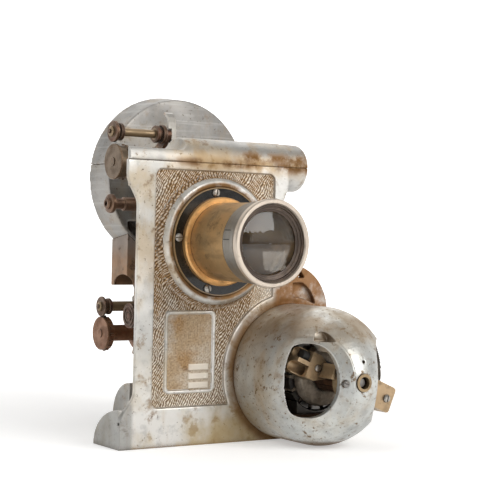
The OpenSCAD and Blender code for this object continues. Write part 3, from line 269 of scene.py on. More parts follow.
# %% The white floor
FLOOR_PAPER = (0.80, 0.80, 0.80)
UNDER_MACHINE = (0.03, 0.03, 0)
SHADOW_NEAR = 0.12
SHADOW_FAR = 0.9
GLOW_NEAR = 0.40

floor_look = bpy.data.materials.new("white_floor")
floor_look.use_nodes = True
tree = floor_look.node_tree
tree.nodes.clear()
floor_out = tree.nodes.new("ShaderNodeOutputMaterial")
floor_matt = tree.nodes.new("ShaderNodeBsdfDiffuse")
floor_glow = tree.nodes.new("ShaderNodeEmission")
floor_sum = tree.nodes.new("ShaderNodeAddShader")
rays = tree.nodes.new("ShaderNodeLightPath").outputs
floor_place = tree.nodes.new("ShaderNodeTexCoord").outputs["Object"]
gap = vector_node(tree, "DISTANCE", floor_place, UNDER_MACHINE).outputs["Value"]
fade = smooth_range(tree, gap, SHADOW_NEAR, SHADOW_FAR, GLOW_NEAR, 1.0)
shown = math_node(tree, "MAXIMUM", rays["Is Camera Ray"], rays["Is Glossy Ray"])
feed(tree, floor_matt.inputs["Color"], FLOOR_PAPER)
feed(tree, floor_glow.inputs["Color"], WHITE)
feed(tree, floor_glow.inputs["Strength"], math_node(tree, "MULTIPLY", shown, fade))
feed(tree, floor_sum.inputs[0], floor_matt.outputs[0])
feed(tree, floor_sum.inputs[1], floor_glow.outputs[0])
feed(tree, floor_out.inputs["Surface"], floor_sum.outputs[0])
floor.data.materials.append(floor_look)
print("floor look nodes:", len(tree.nodes))

# %% [markdown]
# Old metal shows the same few effects again and again: stains in patches, dirt in corners, bright edges and
# a fine cast grain. The bright edges are partly wear and partly a painted highlight. Painting each one by
# hand, material after material, would take long and never match. Instead, each is a shader node group, built
# once and with named inputs.

# %% A helper that makes an effect
KINDS = {"float": "NodeSocketFloat", "vector": "NodeSocketVector"}


def new_effect(name, output, **inputs):
    """A node group with one number out. An input is a plain number, a vector, or None for a place."""
    group = bpy.data.node_groups.new(name, "ShaderNodeTree")
    for label, value in inputs.items():
        kind = KINDS["float" if isinstance(value, float) else "vector"]
        socket = group.interface.new_socket(label, in_out="INPUT", socket_type=kind)
        if value is not None:
            socket.default_value = value
    group.interface.new_socket(output, in_out="OUTPUT", socket_type=KINDS["float"])
    enter = group.nodes.new("NodeGroupInput")
    leave = group.nodes.new("NodeGroupOutput")
    return group, enter.outputs, leave.inputs[output]


def noise_node(tree, place, scale, detail, rough=0.5):
    node = tree.nodes.new("ShaderNodeTexNoise")
    node.inputs["Detail"].default_value = detail
    node.inputs["Roughness"].default_value = rough
    feed(tree, node.inputs["Vector"], place)
    feed(tree, node.inputs["Scale"], scale)
    return node.outputs["Fac"]


print("helpers made: new_effect, noise_node")

# %% [markdown]
# Stains come in clouds with ragged rims. A picture of stains would need mapping onto every part,
# while noise is there at every point of space. Fractal noise gives the cloud, and a smooth threshold
# between two levels decides how much of the surface it covers.

# %% Stain patches
stain_patches, given, result = new_effect("stain_patches", "Mask", Place=None, Scale=60.0, Low=0.5, High=0.7)
cloud = noise_node(stain_patches, given["Place"], given["Scale"], 6.0, 0.62)
feed(stain_patches, result, smooth_range(stain_patches, cloud, given["Low"], given["High"]))
print("effect made:", stain_patches.name)

# %% [markdown]
# Dirt stays where a cloth can't reach. Geometry's Pointiness finds creases too, but only between
# close vertices. Ambient occlusion measures how closed-in a point is, which is just what keeps the
# cloth out, so its dark end becomes the mask for grime.

# %% Dirt in corners
corner_dirt, given, result = new_effect("corner_dirt", "Mask", Reach=0.006, Low=0.15, High=0.6)
closed_in = corner_dirt.nodes.new("ShaderNodeAmbientOcclusion")
closed_in.samples = 6
feed(corner_dirt, closed_in.inputs["Distance"], given["Reach"])
hidden = math_node(corner_dirt, "SUBTRACT", 1.0, closed_in.outputs["AO"])
feed(corner_dirt, result, smooth_range(corner_dirt, hidden, given["Low"], given["High"]))
print("effect made:", corner_dirt.name)

# %% [markdown]
# Hands and cloths polish the edges of a casting, and edges also catch the light. This layer brightens them
# for both reasons, so it is partly wear and partly a painted highlight. An edge could be marked by hand with
# vertex colours. The Bevel node finds it by itself: it bends the normal near an edge, and where the bent
# normal leaves the true one there is an edge to brighten.

# %% Worn edges with a painted highlight
FLAT = 0.995
FULLY_BENT = 0.90

edge_wear_and_highlight, given, result = new_effect("edge_wear_and_highlight", "Mask", Width=0.0008)
bent = edge_wear_and_highlight.nodes.new("ShaderNodeBevel")
bent.samples = 4
feed(edge_wear_and_highlight, bent.inputs["Radius"], given["Width"])
true_normal = edge_wear_and_highlight.nodes.new("ShaderNodeNewGeometry").outputs["Normal"]
same = vector_node(edge_wear_and_highlight, "DOT_PRODUCT", bent.outputs["Normal"], true_normal).outputs["Value"]
feed(edge_wear_and_highlight, result, smooth_range(edge_wear_and_highlight, same, FLAT, FULLY_BENT))
print("effect made:", edge_wear_and_highlight.name)

# %% [markdown]
# Sand-cast alloy is never quite flat: it has a fine grain and, over that, small pits. Real relief
# this fine would need millions of faces, so it goes into the bump instead. Noise makes the grain,
# and the middle of each Voronoi cell makes a pit.

# %% Cast grain
PITS_TO_GRAIN = 0.35
PIT_R = 0.28

cast_grain, given, result = new_effect("cast_grain", "Height", Place=None, Scale=900.0, Pits=0.4)
grain = noise_node(cast_grain, given["Place"], given["Scale"], 3.0)
cells = cast_grain.nodes.new("ShaderNodeTexVoronoi")
feed(cast_grain, cells.inputs["Vector"], given["Place"])
feed(cast_grain, cells.inputs["Scale"], math_node(cast_grain, "MULTIPLY", given["Scale"], PITS_TO_GRAIN))
holes = smooth_range(cast_grain, cells.outputs["Distance"], 0.0, PIT_R, -1.0, 0.0)
pits = math_node(cast_grain, "MULTIPLY", holes, given["Pits"])
feed(cast_grain, result, math_node(cast_grain, "ADD", grain, pits))
print("effect made:", cast_grain.name)

# %% [markdown]
# Rust bleeds out of a joint and runs along it. The joint lies level, so the height of a point says
# how far it is from the joint, and no painted line is needed. Ragged noise breaks the band up.

# %% Stain along a joint
RAGGED_FROM = 0.36
RAGGED_TO = 0.56

joint_stain, given, result = new_effect(
    "joint_stain", "Mask", Place=None, Level=0.189, Reach=0.004, Scale=70.0
)
split_place = joint_stain.nodes.new("ShaderNodeSeparateXYZ")
feed(joint_stain, split_place.inputs[0], given["Place"])
away = math_node(joint_stain, "SUBTRACT", split_place.outputs["Z"], given["Level"])
away = math_node(joint_stain, "ABSOLUTE", away)
away = math_node(joint_stain, "DIVIDE", away, given["Reach"])
near = smooth_range(joint_stain, away, 1.0, 0.0)
wave = noise_node(joint_stain, given["Place"], given["Scale"], 5.0, 0.7)
ragged = smooth_range(joint_stain, wave, RAGGED_FROM, RAGGED_TO)
feed(joint_stain, result, math_node(joint_stain, "MULTIPLY", near, ragged))
print("effect made:", joint_stain.name)

# %% [markdown]
# A lathe leaves fine lines round the axis of the part it turns. A Wave texture would space them
# evenly, which looks printed. Noise that is stretched along one direction is more natural: it
# changes quickly along the axis and slowly round it. Oil runs down a casting in the same kind of
# lines, only upright, so the runs of dirt use this group too, with other numbers.

# %% Stretched lines
stretched_lines, given, result = new_effect(
    "stretched_lines", "Mask", Place=None, Stretch=(20.0, 600.0, 20.0), Low=0.4, High=0.6
)
longer = vector_node(stretched_lines, "MULTIPLY", given["Place"], given["Stretch"]).outputs[0]
drawn = noise_node(stretched_lines, longer, 1.0, 5.0, 0.6)
feed(stretched_lines, result, smooth_range(stretched_lines, drawn, given["Low"], given["High"]))
print("effect made:", stretched_lines.name)

# %% [markdown]
# The flat face of a turned disc has rings instead of lines. There the noise has to change with the
# distance from the axis alone. The axis direction is flattened out of the place first, and the
# distance that is left drives a noise with one dimension.

# %% Turned rings
BETWEEN_RINGS = 0.44
ON_A_RING = 0.58

turned_rings, given, result = new_effect(
    "turned_rings", "Mask", Place=None, Keep=(0.0, 1.0, 1.0), Centre=(0.0, 0.0, 0.0), Scale=900.0
)
pressed = vector_node(turned_rings, "MULTIPLY", given["Place"], given["Keep"]).outputs[0]
radius = vector_node(turned_rings, "DISTANCE", pressed, given["Centre"]).outputs["Value"]
ring_noise = turned_rings.nodes.new("ShaderNodeTexNoise")
ring_noise.noise_dimensions = "1D"
ring_noise.inputs["Detail"].default_value = 3.0
feed(turned_rings, ring_noise.inputs["W"], radius)
feed(turned_rings, ring_noise.inputs["Scale"], given["Scale"])
rings = smooth_range(turned_rings, ring_noise.outputs["Fac"], BETWEEN_RINGS, ON_A_RING)
feed(turned_rings, result, rings)
print("effect made:", turned_rings.name)

# %% [markdown]
# An effect can be used in any material. It goes in as one node that points to the shared group and
# has numbers of its own, so a change to the group reaches every finish at once.

# %% A helper that uses an effect
def place_effect(tree, effect, place=None, **values):
    """Puts a node group into a material's tree and sets its inputs."""
    node = tree.nodes.new("ShaderNodeGroup")
    node.node_tree = effect
    for label, value in values.items():
        node.inputs[label].default_value = value
    if place is not None:
        feed(tree, node.inputs["Place"], place)
    return node.outputs[0]


print("helper made: place_effect")

# %% [markdown]
# Every metal here ages in the same order: its colour drifts, stains settle, dirt fills the corners, and
# edges are brightened, partly as wear and partly as a painted highlight. Wiring each material by hand would
# repeat the same nodes every time.
# A class does it once, and a finish then reads as a list of layers. It comes in three steps. The
# first is the ground: a Principled shader, the grain in its bump, and a way to lay one layer.

# %% The ground of a finish
class Ground:
    """A Principled shader with cast grain in its bump, and a colour to lay layers on."""

    def __init__(self, name, metallic, rough, grain_scale, grain_depth, pits):
        self.look = bpy.data.materials.new(name)
        self.look.use_nodes = True
        self.tree = self.look.node_tree
        self.shader = self.tree.nodes["Principled BSDF"]
        self.shader.inputs["Metallic"].default_value = metallic
        self.place = self.tree.nodes.new("ShaderNodeTexCoord").outputs["Object"]
        self.rough = rough
        bump = self.tree.nodes.new("ShaderNodeBump")
        bump.inputs["Strength"].default_value = 1.0
        bump.inputs["Distance"].default_value = grain_depth
        height = place_effect(self.tree, cast_grain, self.place, Scale=grain_scale, Pits=pits)
        feed(self.tree, bump.inputs["Height"], height)
        feed(self.tree, self.shader.inputs["Normal"], bump.outputs["Normal"])

    def lay(self, mask, colour, amount, rougher=0.0):
        """One layer: a colour where the mask is, at this strength."""
        mask = math_node(self.tree, "MULTIPLY", mask, amount)
        self.colour = mix_colour(self.tree, mask, self.colour, colour)
        if rougher:
            added = math_node(self.tree, "MULTIPLY", mask, rougher)
            self.roughness = math_node(self.tree, "ADD", self.roughness, added, clamp=True)

    def finish(self):
        feed(self.tree, self.shader.inputs["Base Color"], self.colour)
        feed(self.tree, self.shader.inputs["Roughness"], self.roughness)
        print("finish", self.look.name, "has", len(self.tree.nodes), "nodes")
        return self.look


print("class made: Ground")

# %% [markdown]
# The second step is the layers that age the metal, together with the edge layer, which is partly wear and
# partly a painted highlight. Each takes its mask from one of the effects and lays its colour there. It gets
# the colour, the numbers of its effect and, last, its strength. Dirt is rougher than metal, so the dirty
# layers also raise the roughness.

# %% The layers of a finish
class Layers(Ground):
    """The layers that age a metal, and edges brightened partly as a painted highlight. Every finish starts
    with drift.
    """

    def patches(self, scale, low, high):
        return place_effect(self.tree, stain_patches, self.place, Scale=scale, Low=low, High=high)

    def drift(self, first, second, scale, low=0.35, high=0.65):
        """Two tones of the metal in large clouds, the second one rougher."""
        mask = self.patches(scale, low, high)
        self.colour = mix_colour(self.tree, mask, first, second)
        self.roughness = smooth_range(self.tree, mask, 0.0, 1.0, *self.rough)

    def stains(self, colour, scale, low, high, amount):
        self.lay(self.patches(scale, low, high), colour, amount, 0.15)

    def grime(self, colour, reach, low, high, amount):
        mask = place_effect(self.tree, corner_dirt, Reach=reach, Low=low, High=high)
        self.lay(mask, colour, amount, 0.2)

    def edges(self, colour, width, amount):
        # The edge colour is partly wear and partly a painted highlight.
        self.lay(place_effect(self.tree, edge_wear_and_highlight, Width=width), colour, amount)

    def lines(self, colour, stretch, low, high, amount):
        mask = place_effect(self.tree, stretched_lines, self.place, Stretch=stretch, Low=low, High=high)
        self.lay(mask, colour, amount, 0.1)

    def rings(self, colour, keep, centre, scale, amount):
        mask = place_effect(self.tree, turned_rings, self.place, Keep=keep, Centre=centre, Scale=scale)
        self.lay(mask, colour, amount)


print("layers made: patches, drift, stains, grime, edges, lines, rings")

# %% [markdown]
# Some stains keep to one place, such as the rim of the lens port. Vertex groups could mark it, but
# they would be lost when a solid is remeshed. So the third step makes masks from the place itself: a
# range along an axis, or a range of the distance from an axis, and one times the other for both.

# %% The zones of a finish
class AgedMetal(Layers):
    """A finish whose stains can also keep to one zone of the machine."""

    def axis_range(self, axis, low, high):
        """A mask that rises from 0 to 1 between two places along an axis."""
        split = self.tree.nodes.new("ShaderNodeSeparateXYZ")
        feed(self.tree, split.inputs[0], self.place)
        return smooth_range(self.tree, split.outputs[axis], low, high)

    def ring_range(self, keep, centre, low, high):
        """A mask that rises from radius low to radius high round the axis that keep leaves out."""
        flat = vector_node(self.tree, "MULTIPLY", self.place, keep).outputs[0]
        gap = vector_node(self.tree, "DISTANCE", flat, centre).outputs["Value"]
        return smooth_range(self.tree, gap, low, high)

    def both(self, first, second):
        return math_node(self.tree, "MULTIPLY", first, second)

    def zone_stain(self, zone, cloud, colour, amount, rougher):
        """A stain that keeps to a zone: the zone's mask times a cloud of patches."""
        self.lay(self.both(zone, self.patches(*cloud)), colour, amount, rougher)


print("zones made: axis_range, ring_range, both, zone_stain")

# %% [markdown]
# The castings are an aluminium alloy gone pale and matt. Up close the metal is a cloudy grey, warm
# with old oil in places, with a few runs where the oil trickled down, rust-brown spots and dark
# pits. The recipe is a function, because the front, the cover, the drum, the frame and the motor
# are all cast from it and differ only in their tones and in how warm their dirt is.

# %% Cast alloy
PALE_ALLOY = (0.72, 0.705, 0.675)
GREY_ALLOY = (0.52, 0.515, 0.495)
CLOUD_GREY = (0.36, 0.36, 0.355)
OLD_OIL = (0.52, 0.41, 0.26)
OIL_RUN = (0.42, 0.29, 0.15)
BROWN_SPOT = (0.24, 0.145, 0.07)
DARK_PIT = (0.12, 0.08, 0.05)
CORNER_BROWN = (0.16, 0.10, 0.05)
ALLOY_EDGE_WEAR_AND_HIGHLIGHT = (0.80, 0.78, 0.74)
UPRIGHT_RUNS = (55.0, 55.0, 9.0)


def cast_alloy(name, warm, rough=(0.38, 0.52), pale=PALE_ALLOY, grey=GREY_ALLOY):
    metal = AgedMetal(name, 0.82, rough, grain_scale=700.0, grain_depth=0.00010, pits=0.5)
    metal.drift(pale, grey, 19.0, 0.38, 0.66)
    metal.stains(CLOUD_GREY, 150.0, 0.50, 0.66, 0.35)
    metal.stains(OLD_OIL, 24.0, 0.46, 0.68, warm)
    metal.lines(OIL_RUN, UPRIGHT_RUNS, 0.52, 0.70, warm * 0.9)
    metal.stains(BROWN_SPOT, 95.0, 0.56, 0.68, warm)
    metal.stains(DARK_PIT, 420.0, 0.62, 0.69, 0.7)
    metal.grime(CORNER_BROWN, 0.007, 0.20, 0.62, 0.9)
    # Bright edges: partly rubbed wear, partly a painted highlight.
    metal.edges(ALLOY_EDGE_WEAR_AND_HIGHLIGHT, 0.0012, 0.55)
    return metal


print("pale alloy:", PALE_ALLOY, "grey alloy:", GREY_ALLOY)

# %% [markdown]
# The bar over the lens is closed by a cover, and the drum is made in two halves. Water got into
# both joints, so rust bleeds out of them: a wide ochre stain with a narrow dark one in it. It
# starts away from the left end, and here and there a spot is worse than the rest.

# %% Rust in the joints
JOINT_LEVEL = 0.189
DRUM_SPLIT = 0.1935
RUST_OCHRE = (0.50, 0.33, 0.14)
RUST_DARK = (0.24, 0.115, 0.035)
RUST_SPOT = (0.25, 0.125, 0.04)
LEFT_END = (-0.055, -0.005)


def joint_rust(metal, zone, level, reach, scale, colour, amount):
    band = place_effect(metal.tree, joint_stain, metal.place, Level=level, Reach=reach, Scale=scale)
    metal.lay(metal.both(band, zone), colour, amount, 0.25)


def rusty_joint(metal, level, fade=LEFT_END):
    """Rust along a joint, none at the left of fade and at its strongest right of it."""
    zone = metal.axis_range("X", *fade)
    joint_rust(metal, zone, level, reach=0.0125, scale=26.0, colour=RUST_OCHRE, amount=0.70)
    joint_rust(metal, zone, level, reach=0.0045, scale=44.0, colour=RUST_DARK, amount=1.0)


def rust_spot(metal, level, fade, reach, scale):
    """A stronger patch of rust, from one place along the joint onwards."""
    zone = metal.axis_range("X", *fade)
    joint_rust(metal, zone, level, reach, scale, colour=RUST_SPOT, amount=0.95)


def rusty_bar_end(metal):
    """The right end of the bar, where the joint opens and rusts most."""
    rust_spot(metal, JOINT_LEVEL, fade=(0.050, 0.060), reach=0.0085, scale=60.0)


print("joint heights in m:", JOINT_LEVEL, DRUM_SPLIT)

# %% [markdown]
# The front casting is the face of the machine. Besides the joint's rust it has an ochre bloom over its foot,
# a painted shade that darkens the foot's left side face grey, and a brown ring where the motor is bolted on.
# Each keeps to one place: the bloom and the ring are a zone times a cloud of patches, and the painted shade
# is a zone alone. The places are named first: the axes of the lens and the motor serve the whole notebook.

# %% The front casting's foot and motor seat
LENS_Z = 136.5
MOTOR = (62.9, 47.2)
LENS_AXIS = (0, 0, LENS_Z * MM)
MOTOR_AXIS = (MOTOR[0] * MM, 0, MOTOR[1] * MM)
ROUND_Y = (1, 0, 1)
FOOT_FADE = (0.075, 0.0)
FOOT_PAINTED_SHADE_X = (-0.0595, -0.063)
FOOT_PAINTED_SHADE_Z = (0.034, 0.028)
SEAT_RADII = (0.0545, 0.0485)
FOOT_BLOOM = (0.52, 0.40, 0.21)
FOOT_PAINTED_SHADE = (0.26, 0.26, 0.25)
SEAT_BROWN = (0.28, 0.16, 0.065)

front_metal = cast_alloy("cast_front", 0.62)
rusty_joint(front_metal, JOINT_LEVEL)
rusty_bar_end(front_metal)
foot_zone = front_metal.axis_range("Z", *FOOT_FADE)
front_metal.zone_stain(foot_zone, (20.0, 0.40, 0.64), FOOT_BLOOM, 0.75, 0.1)
# Painted shade: grey laid on the foot's left side face, low down, where that face stands in shade.
painted_shade_left = front_metal.axis_range("X", *FOOT_PAINTED_SHADE_X)
painted_shade_low = front_metal.axis_range("Z", *FOOT_PAINTED_SHADE_Z)
front_metal.lay(front_metal.both(painted_shade_left, painted_shade_low), FOOT_PAINTED_SHADE, 0.7, 0.1)
seat_ring = front_metal.ring_range(ROUND_Y, MOTOR_AXIS, *SEAT_RADII)
front_metal.zone_stain(seat_ring, (45.0, 0.30, 0.52), SEAT_BROWN, 0.85, 0.2)
print("motor axis in m:", MOTOR_AXIS)

# %% [markdown]
# The lens port has a burnt brown rim inside, and the lobe behind the motor is rust-brown all over.
# The lobe is an odd shape, but it is the only part of the casting that far right between the bar and
# the foot, so three ranges along the axes find it.

# %% The front casting's port and lobe
PORT_RADII = (0.0404, 0.0384)
LOBE_LEFT = (0.046, 0.053)
LOBE_TOP = (0.150, 0.140)
LOBE_BOTTOM = (0.070, 0.085)
PORT_BROWN = (0.27, 0.145, 0.05)
LOBE_BROWN = (0.30, 0.145, 0.05)

port_inside = front_metal.ring_range(ROUND_Y, LENS_AXIS, *PORT_RADII)
front_metal.zone_stain(port_inside, (80.0, 0.30, 0.54), PORT_BROWN, 0.95, 0.2)
lobe_side = front_metal.axis_range("X", *LOBE_LEFT)
lobe_below = front_metal.axis_range("Z", *LOBE_TOP)
lobe_above = front_metal.axis_range("Z", *LOBE_BOTTOM)
lobe_zone = front_metal.both(front_metal.both(lobe_side, lobe_below), lobe_above)
front_metal.zone_stain(lobe_zone, (48.0, 0.24, 0.50), LOBE_BROWN, 0.92, 0.2)
front_look = front_metal.finish()

# %% [markdown]
# The cover, the drum and the hidden frame are the same alloy in darker tones, as they catch less
# polish than the front. The same recipe with other numbers keeps them one family. The drum also
# shows faint level lines, for which the stretched lines are laid flat.

# %% Cover, drum and frame finishes
COVER_PALE = (0.47, 0.455, 0.43)
COVER_GREY = (0.35, 0.34, 0.32)
COVER_SPOT_LEVEL = 0.1945
DRUM_PALE = (0.36, 0.345, 0.325)
DRUM_GREY = (0.26, 0.252, 0.24)
DRUM_LINES = (0.54, 0.53, 0.51)
LEVEL_LINES = (16.0, 16.0, 420.0)
FRAME_PALE = (0.50, 0.485, 0.455)
FRAME_GREY = (0.36, 0.35, 0.33)

cover_metal = cast_alloy("cast_cover", 0.58, pale=COVER_PALE, grey=COVER_GREY)
rusty_joint(cover_metal, JOINT_LEVEL)
rusty_bar_end(cover_metal)
rust_spot(cover_metal, COVER_SPOT_LEVEL, fade=(0.012, 0.026), reach=0.0060, scale=70.0)
cover_look = cover_metal.finish()

drum_metal = cast_alloy("cast_drum", 0.3, (0.46, 0.60), DRUM_PALE, DRUM_GREY)
rusty_joint(drum_metal, DRUM_SPLIT, fade=(0.0, 0.03))
drum_metal.lines(DRUM_LINES, LEVEL_LINES, 0.50, 0.66, 0.35)
drum_look = drum_metal.finish()

frame_metal = cast_alloy("cast_frame", 0.5, (0.50, 0.66), FRAME_PALE, FRAME_GREY)
frame_look = frame_metal.finish()

# %% [markdown]
# The motor's shell is smoother and bluer than the rest, as if it had often been wiped. It has
# peppery spots all over, a brown bloom on its crown where dust settles, and old oil at its rear.
# The spots come in two sizes, as one size alone looks like a printed pattern.

# %% The motor shell's finish
MOTOR_PALE = (0.64, 0.65, 0.625)
MOTOR_GREY = (0.45, 0.46, 0.45)
PEPPER_SPOT = (0.19, 0.12, 0.06)
FINE_PEPPER = (0.13, 0.095, 0.06)
CROWN_DUST = (0.33, 0.25, 0.165)
CROWN_FADE = (0.060, 0.085)
REAR_OIL = (0.38, 0.29, 0.17)
REAR_FADE = (-0.050, -0.018)

motor_metal = cast_alloy("cast_motor", 0.42, (0.34, 0.48), MOTOR_PALE, MOTOR_GREY)
motor_metal.stains(PEPPER_SPOT, 230.0, 0.585, 0.67, 0.9)
motor_metal.stains(FINE_PEPPER, 620.0, 0.60, 0.68, 0.55)
crown_zone = motor_metal.axis_range("Z", *CROWN_FADE)
motor_metal.zone_stain(crown_zone, (30.0, 0.34, 0.58), CROWN_DUST, 0.8, 0.12)
rear_zone = motor_metal.axis_range("Y", *REAR_FADE)
motor_metal.zone_stain(rear_zone, (34.0, 0.40, 0.62), REAR_OIL, 0.5, 0.2)
motor_look = motor_metal.finish()

# %% [markdown]
# The sunk panel of the front is brown with dirt between bright ridges. Corner dirt can't follow
# ridges this fine. So the panel's mesh, made further down, carries its own height at each point, from
# 0 to 1, in an attribute called relief: low points take the dark tone and the tops are rubbed bright.

# %% The panel's ground
PANEL_TAN = (0.60, 0.52, 0.42)
PANEL_BROWN = (0.50, 0.37, 0.23)
PANEL_RUST = (0.44, 0.25, 0.09)
PANEL_RUBBED = (0.64, 0.62, 0.58)
PANEL_DARK = (0.17, 0.09, 0.04)


def panel_finish(name):
    metal = AgedMetal(name, 0.50, (0.40, 0.56), grain_scale=1200.0, grain_depth=0.00003, pits=0.2)
    metal.drift(PANEL_TAN, PANEL_BROWN, 26.0, 0.38, 0.60)
    metal.stains(PANEL_RUST, 34.0, 0.50, 0.66, 0.7)
    metal.stains(PANEL_RUBBED, 20.0, 0.52, 0.66, 0.6)
    metal.stains(PANEL_DARK, 75.0, 0.60, 0.72, 0.6)
    return metal


def relief_range(metal, low, high):
    node = metal.tree.nodes.new("ShaderNodeAttribute")
    node.attribute_name = "relief"
    return smooth_range(metal.tree, node.outputs["Fac"], low, high)


print("helpers made: panel_finish, relief_range")

# %% [markdown]
# Two finishes share that ground, so that they match where they meet. The pebbled part has rust
# round the lens port and a darker patch low down beside the motor. The bare field inside the raised
# border has no ridges to show, so it gets upright runs and small brown specks.

# %% The panel's two finishes
PORT_RUST = (0.40, 0.22, 0.075)
PORT_RUST_RADII = (0.054, 0.043)
LOW_BROWN = (0.27, 0.17, 0.09)
LOW_BROWN_TOP = (0.105, 0.085)
LOW_BROWN_LEFT = (-0.006, 0.012)
GROOVE_DIRT = (0.12, 0.068, 0.030)
RUBBED_RIDGE = (0.84, 0.79, 0.71)
FIELD_DIRT = (0.26, 0.165, 0.085)
FIELD_RUN = (0.26, 0.15, 0.07)
FIELD_SPECK = (0.20, 0.11, 0.05)
SHORT_RUNS = (60.0, 60.0, 14.0)

grain_metal = panel_finish("panel_grain")
port_zone = grain_metal.ring_range(ROUND_Y, LENS_AXIS, *PORT_RUST_RADII)
grain_metal.zone_stain(port_zone, (40.0, 0.36, 0.56), PORT_RUST, 0.8, 0.1)
below_port = grain_metal.axis_range("Z", *LOW_BROWN_TOP)
beside_motor = grain_metal.axis_range("X", *LOW_BROWN_LEFT)
grain_metal.lay(grain_metal.both(below_port, beside_motor), LOW_BROWN, 0.45, 0.1)
grain_metal.lay(relief_range(grain_metal, 0.50, 0.08), GROOVE_DIRT, 0.92, 0.2)
grain_metal.lay(relief_range(grain_metal, 0.42, 0.80), RUBBED_RIDGE, 0.65)
panel_look = grain_metal.finish()

bare_metal = panel_finish("panel_bare")
bare_metal.lay(relief_range(bare_metal, 0.6, 0.2), FIELD_DIRT, 0.6, 0.1)
bare_metal.lines(FIELD_RUN, SHORT_RUNS, 0.52, 0.70, 0.5)
bare_metal.stains(FIELD_SPECK, 160.0, 0.54, 0.66, 0.6)
bare_look = bare_metal.finish()

# %% [markdown]
# The rollers and sprockets are turned from bronze and wear a rust-brown skin. Their ends show the
# lathe's rings, and a pad roller's core is rubbed to a paler brown. One recipe serves them all. It
# takes the two tones and the colour of the skin, draws rings where it is given an axis, and a core
# where it is given a radius.

# %% The bronze recipe
ROUND_X = (0, 1, 1)
RED_SKIN = (0.20, 0.07, 0.035)
PALE_SPOT = (0.30, 0.20, 0.12)
LATHE_RING = (0.22, 0.13, 0.075)
RUBBED_CORE = (0.33, 0.24, 0.14)
BLACK_GREASE = (0.02, 0.012, 0.008)
BRONZE_EDGE_WEAR_AND_HIGHLIGHT = (0.46, 0.34, 0.25)
CORE_FADE = 0.0004


def bronze(name, tones, skin=RED_SKIN, axis=None, core=None):
    metal = AgedMetal(name, 0.55, (0.36, 0.54), grain_scale=1500.0, grain_depth=0.00004, pits=0.4)
    metal.drift(*tones, 90.0, 0.38, 0.62)
    metal.stains(skin, 160.0, 0.50, 0.68, 0.5)
    metal.stains(PALE_SPOT, 210.0, 0.60, 0.70, 0.5)
    if axis:
        metal.rings(LATHE_RING, ROUND_X, axis, 1400.0, 0.4)
    if core:
        metal.lay(metal.ring_range(ROUND_X, axis, core + CORE_FADE, core), RUBBED_CORE, 0.85)
    metal.grime(BLACK_GREASE, 0.003, 0.15, 0.6, 0.92)
    # Bright edges: partly rubbed wear, partly a painted highlight.
    metal.edges(BRONZE_EDGE_WEAR_AND_HIGHLIGHT, 0.0005, 0.6)
    return metal.finish()


print("helper made: bronze")

# %% [markdown]
# Rings need an axis. Each turned piece has its own, and all of them lie along X, across the film. A
# pad roller ends in a small cap, and its core radius is a little larger than the cap's, so that the
# cap turns pale and the flange round it stays dark.

# %% Bronze for the rollers and sprockets
UPPER_ROLLER = (0, 0.0905, 0.2145)
LOWER_ROLLER = (0, 0.1020, 0.0863)
UPPER_SPROCKET = (0, 0.0890, 0.1925)
LOWER_SPROCKET = (0, 0.1030, 0.0665)
GUIDE = (0, 0.0940, 0.1620)
UPPER_CORE_R = 0.0042
LOWER_CORE_R = 0.0036
DARK_BRONZE = ((0.115, 0.066, 0.042), (0.065, 0.038, 0.025))
RED_BRONZE = ((0.27, 0.125, 0.06), (0.17, 0.075, 0.036))
GREEN_BRONZE = ((0.16, 0.115, 0.07), (0.10, 0.072, 0.045))
GUIDE_BRONZE = ((0.20, 0.115, 0.07), (0.11, 0.062, 0.04))
BROWN_SKIN = (0.12, 0.06, 0.03)

roller_look = bronze("roller_bronze", DARK_BRONZE)
upper_roller_look = bronze("upper_roller_bronze", DARK_BRONZE, axis=UPPER_ROLLER, core=UPPER_CORE_R)
lower_roller_look = bronze("lower_roller_bronze", DARK_BRONZE, axis=LOWER_ROLLER, core=LOWER_CORE_R)
red_sprocket_look = bronze("red_bronze", RED_BRONZE, axis=LOWER_SPROCKET)
green_sprocket_look = bronze("green_bronze", GREEN_BRONZE, BROWN_SKIN, UPPER_SPROCKET)
guide_look = bronze("guide_bronze", GUIDE_BRONZE, axis=GUIDE)

# %% [markdown]
# The lens sits in a brass sleeve that is still bright orange where it was covered. It was turned,
# and dirt has stayed in the turning lines. The lens axis lies along Y, so the lines' noise is
# stretched round Y.

# %% Bright brass
ORANGE_BRASS = (0.92, 0.50, 0.18)
BROWN_BRASS = (0.70, 0.40, 0.16)
SLEEVE_LINE = (0.30, 0.16, 0.06)
SLEEVE_STAIN = (0.24, 0.13, 0.05)
SLEEVE_EDGE = (0.74, 0.44, 0.19)
TURNED_SLEEVE = (40.0, 500.0, 40.0)


def bright_brass_finish():
    metal = AgedMetal("bright_brass", 0.75, (0.36, 0.50), grain_scale=1500.0, grain_depth=0.00002, pits=0.1)
    metal.drift(ORANGE_BRASS, BROWN_BRASS, 60.0)
    metal.lines(SLEEVE_LINE, TURNED_SLEEVE, 0.45, 0.65, 0.6)
    metal.stains(SLEEVE_STAIN, 120.0, 0.54, 0.68, 0.6)
    # Bright edges: partly rubbed wear, partly a painted highlight.
    metal.edges(SLEEVE_EDGE, 0.0006, 0.5)
    return metal.finish()


bright_brass_look = bright_brass_finish()

# %% [markdown]
# The lens barrel in the sleeve has gone dull and brown, with scratches along it from being pushed in
# and out. The gears, the brush yoke and the nose bush have aged in the same way, so they share the
# recipe and only their two tones differ.

# %% Dull brass
BRASS_SCRATCH = (0.13, 0.085, 0.04)
BRASS_SPECK = (0.42, 0.33, 0.21)
BRASS_GREASE = (0.04, 0.025, 0.015)
BRASS_EDGE = (0.60, 0.48, 0.31)
ALONG_BARREL = (70.0, 16.0, 70.0)


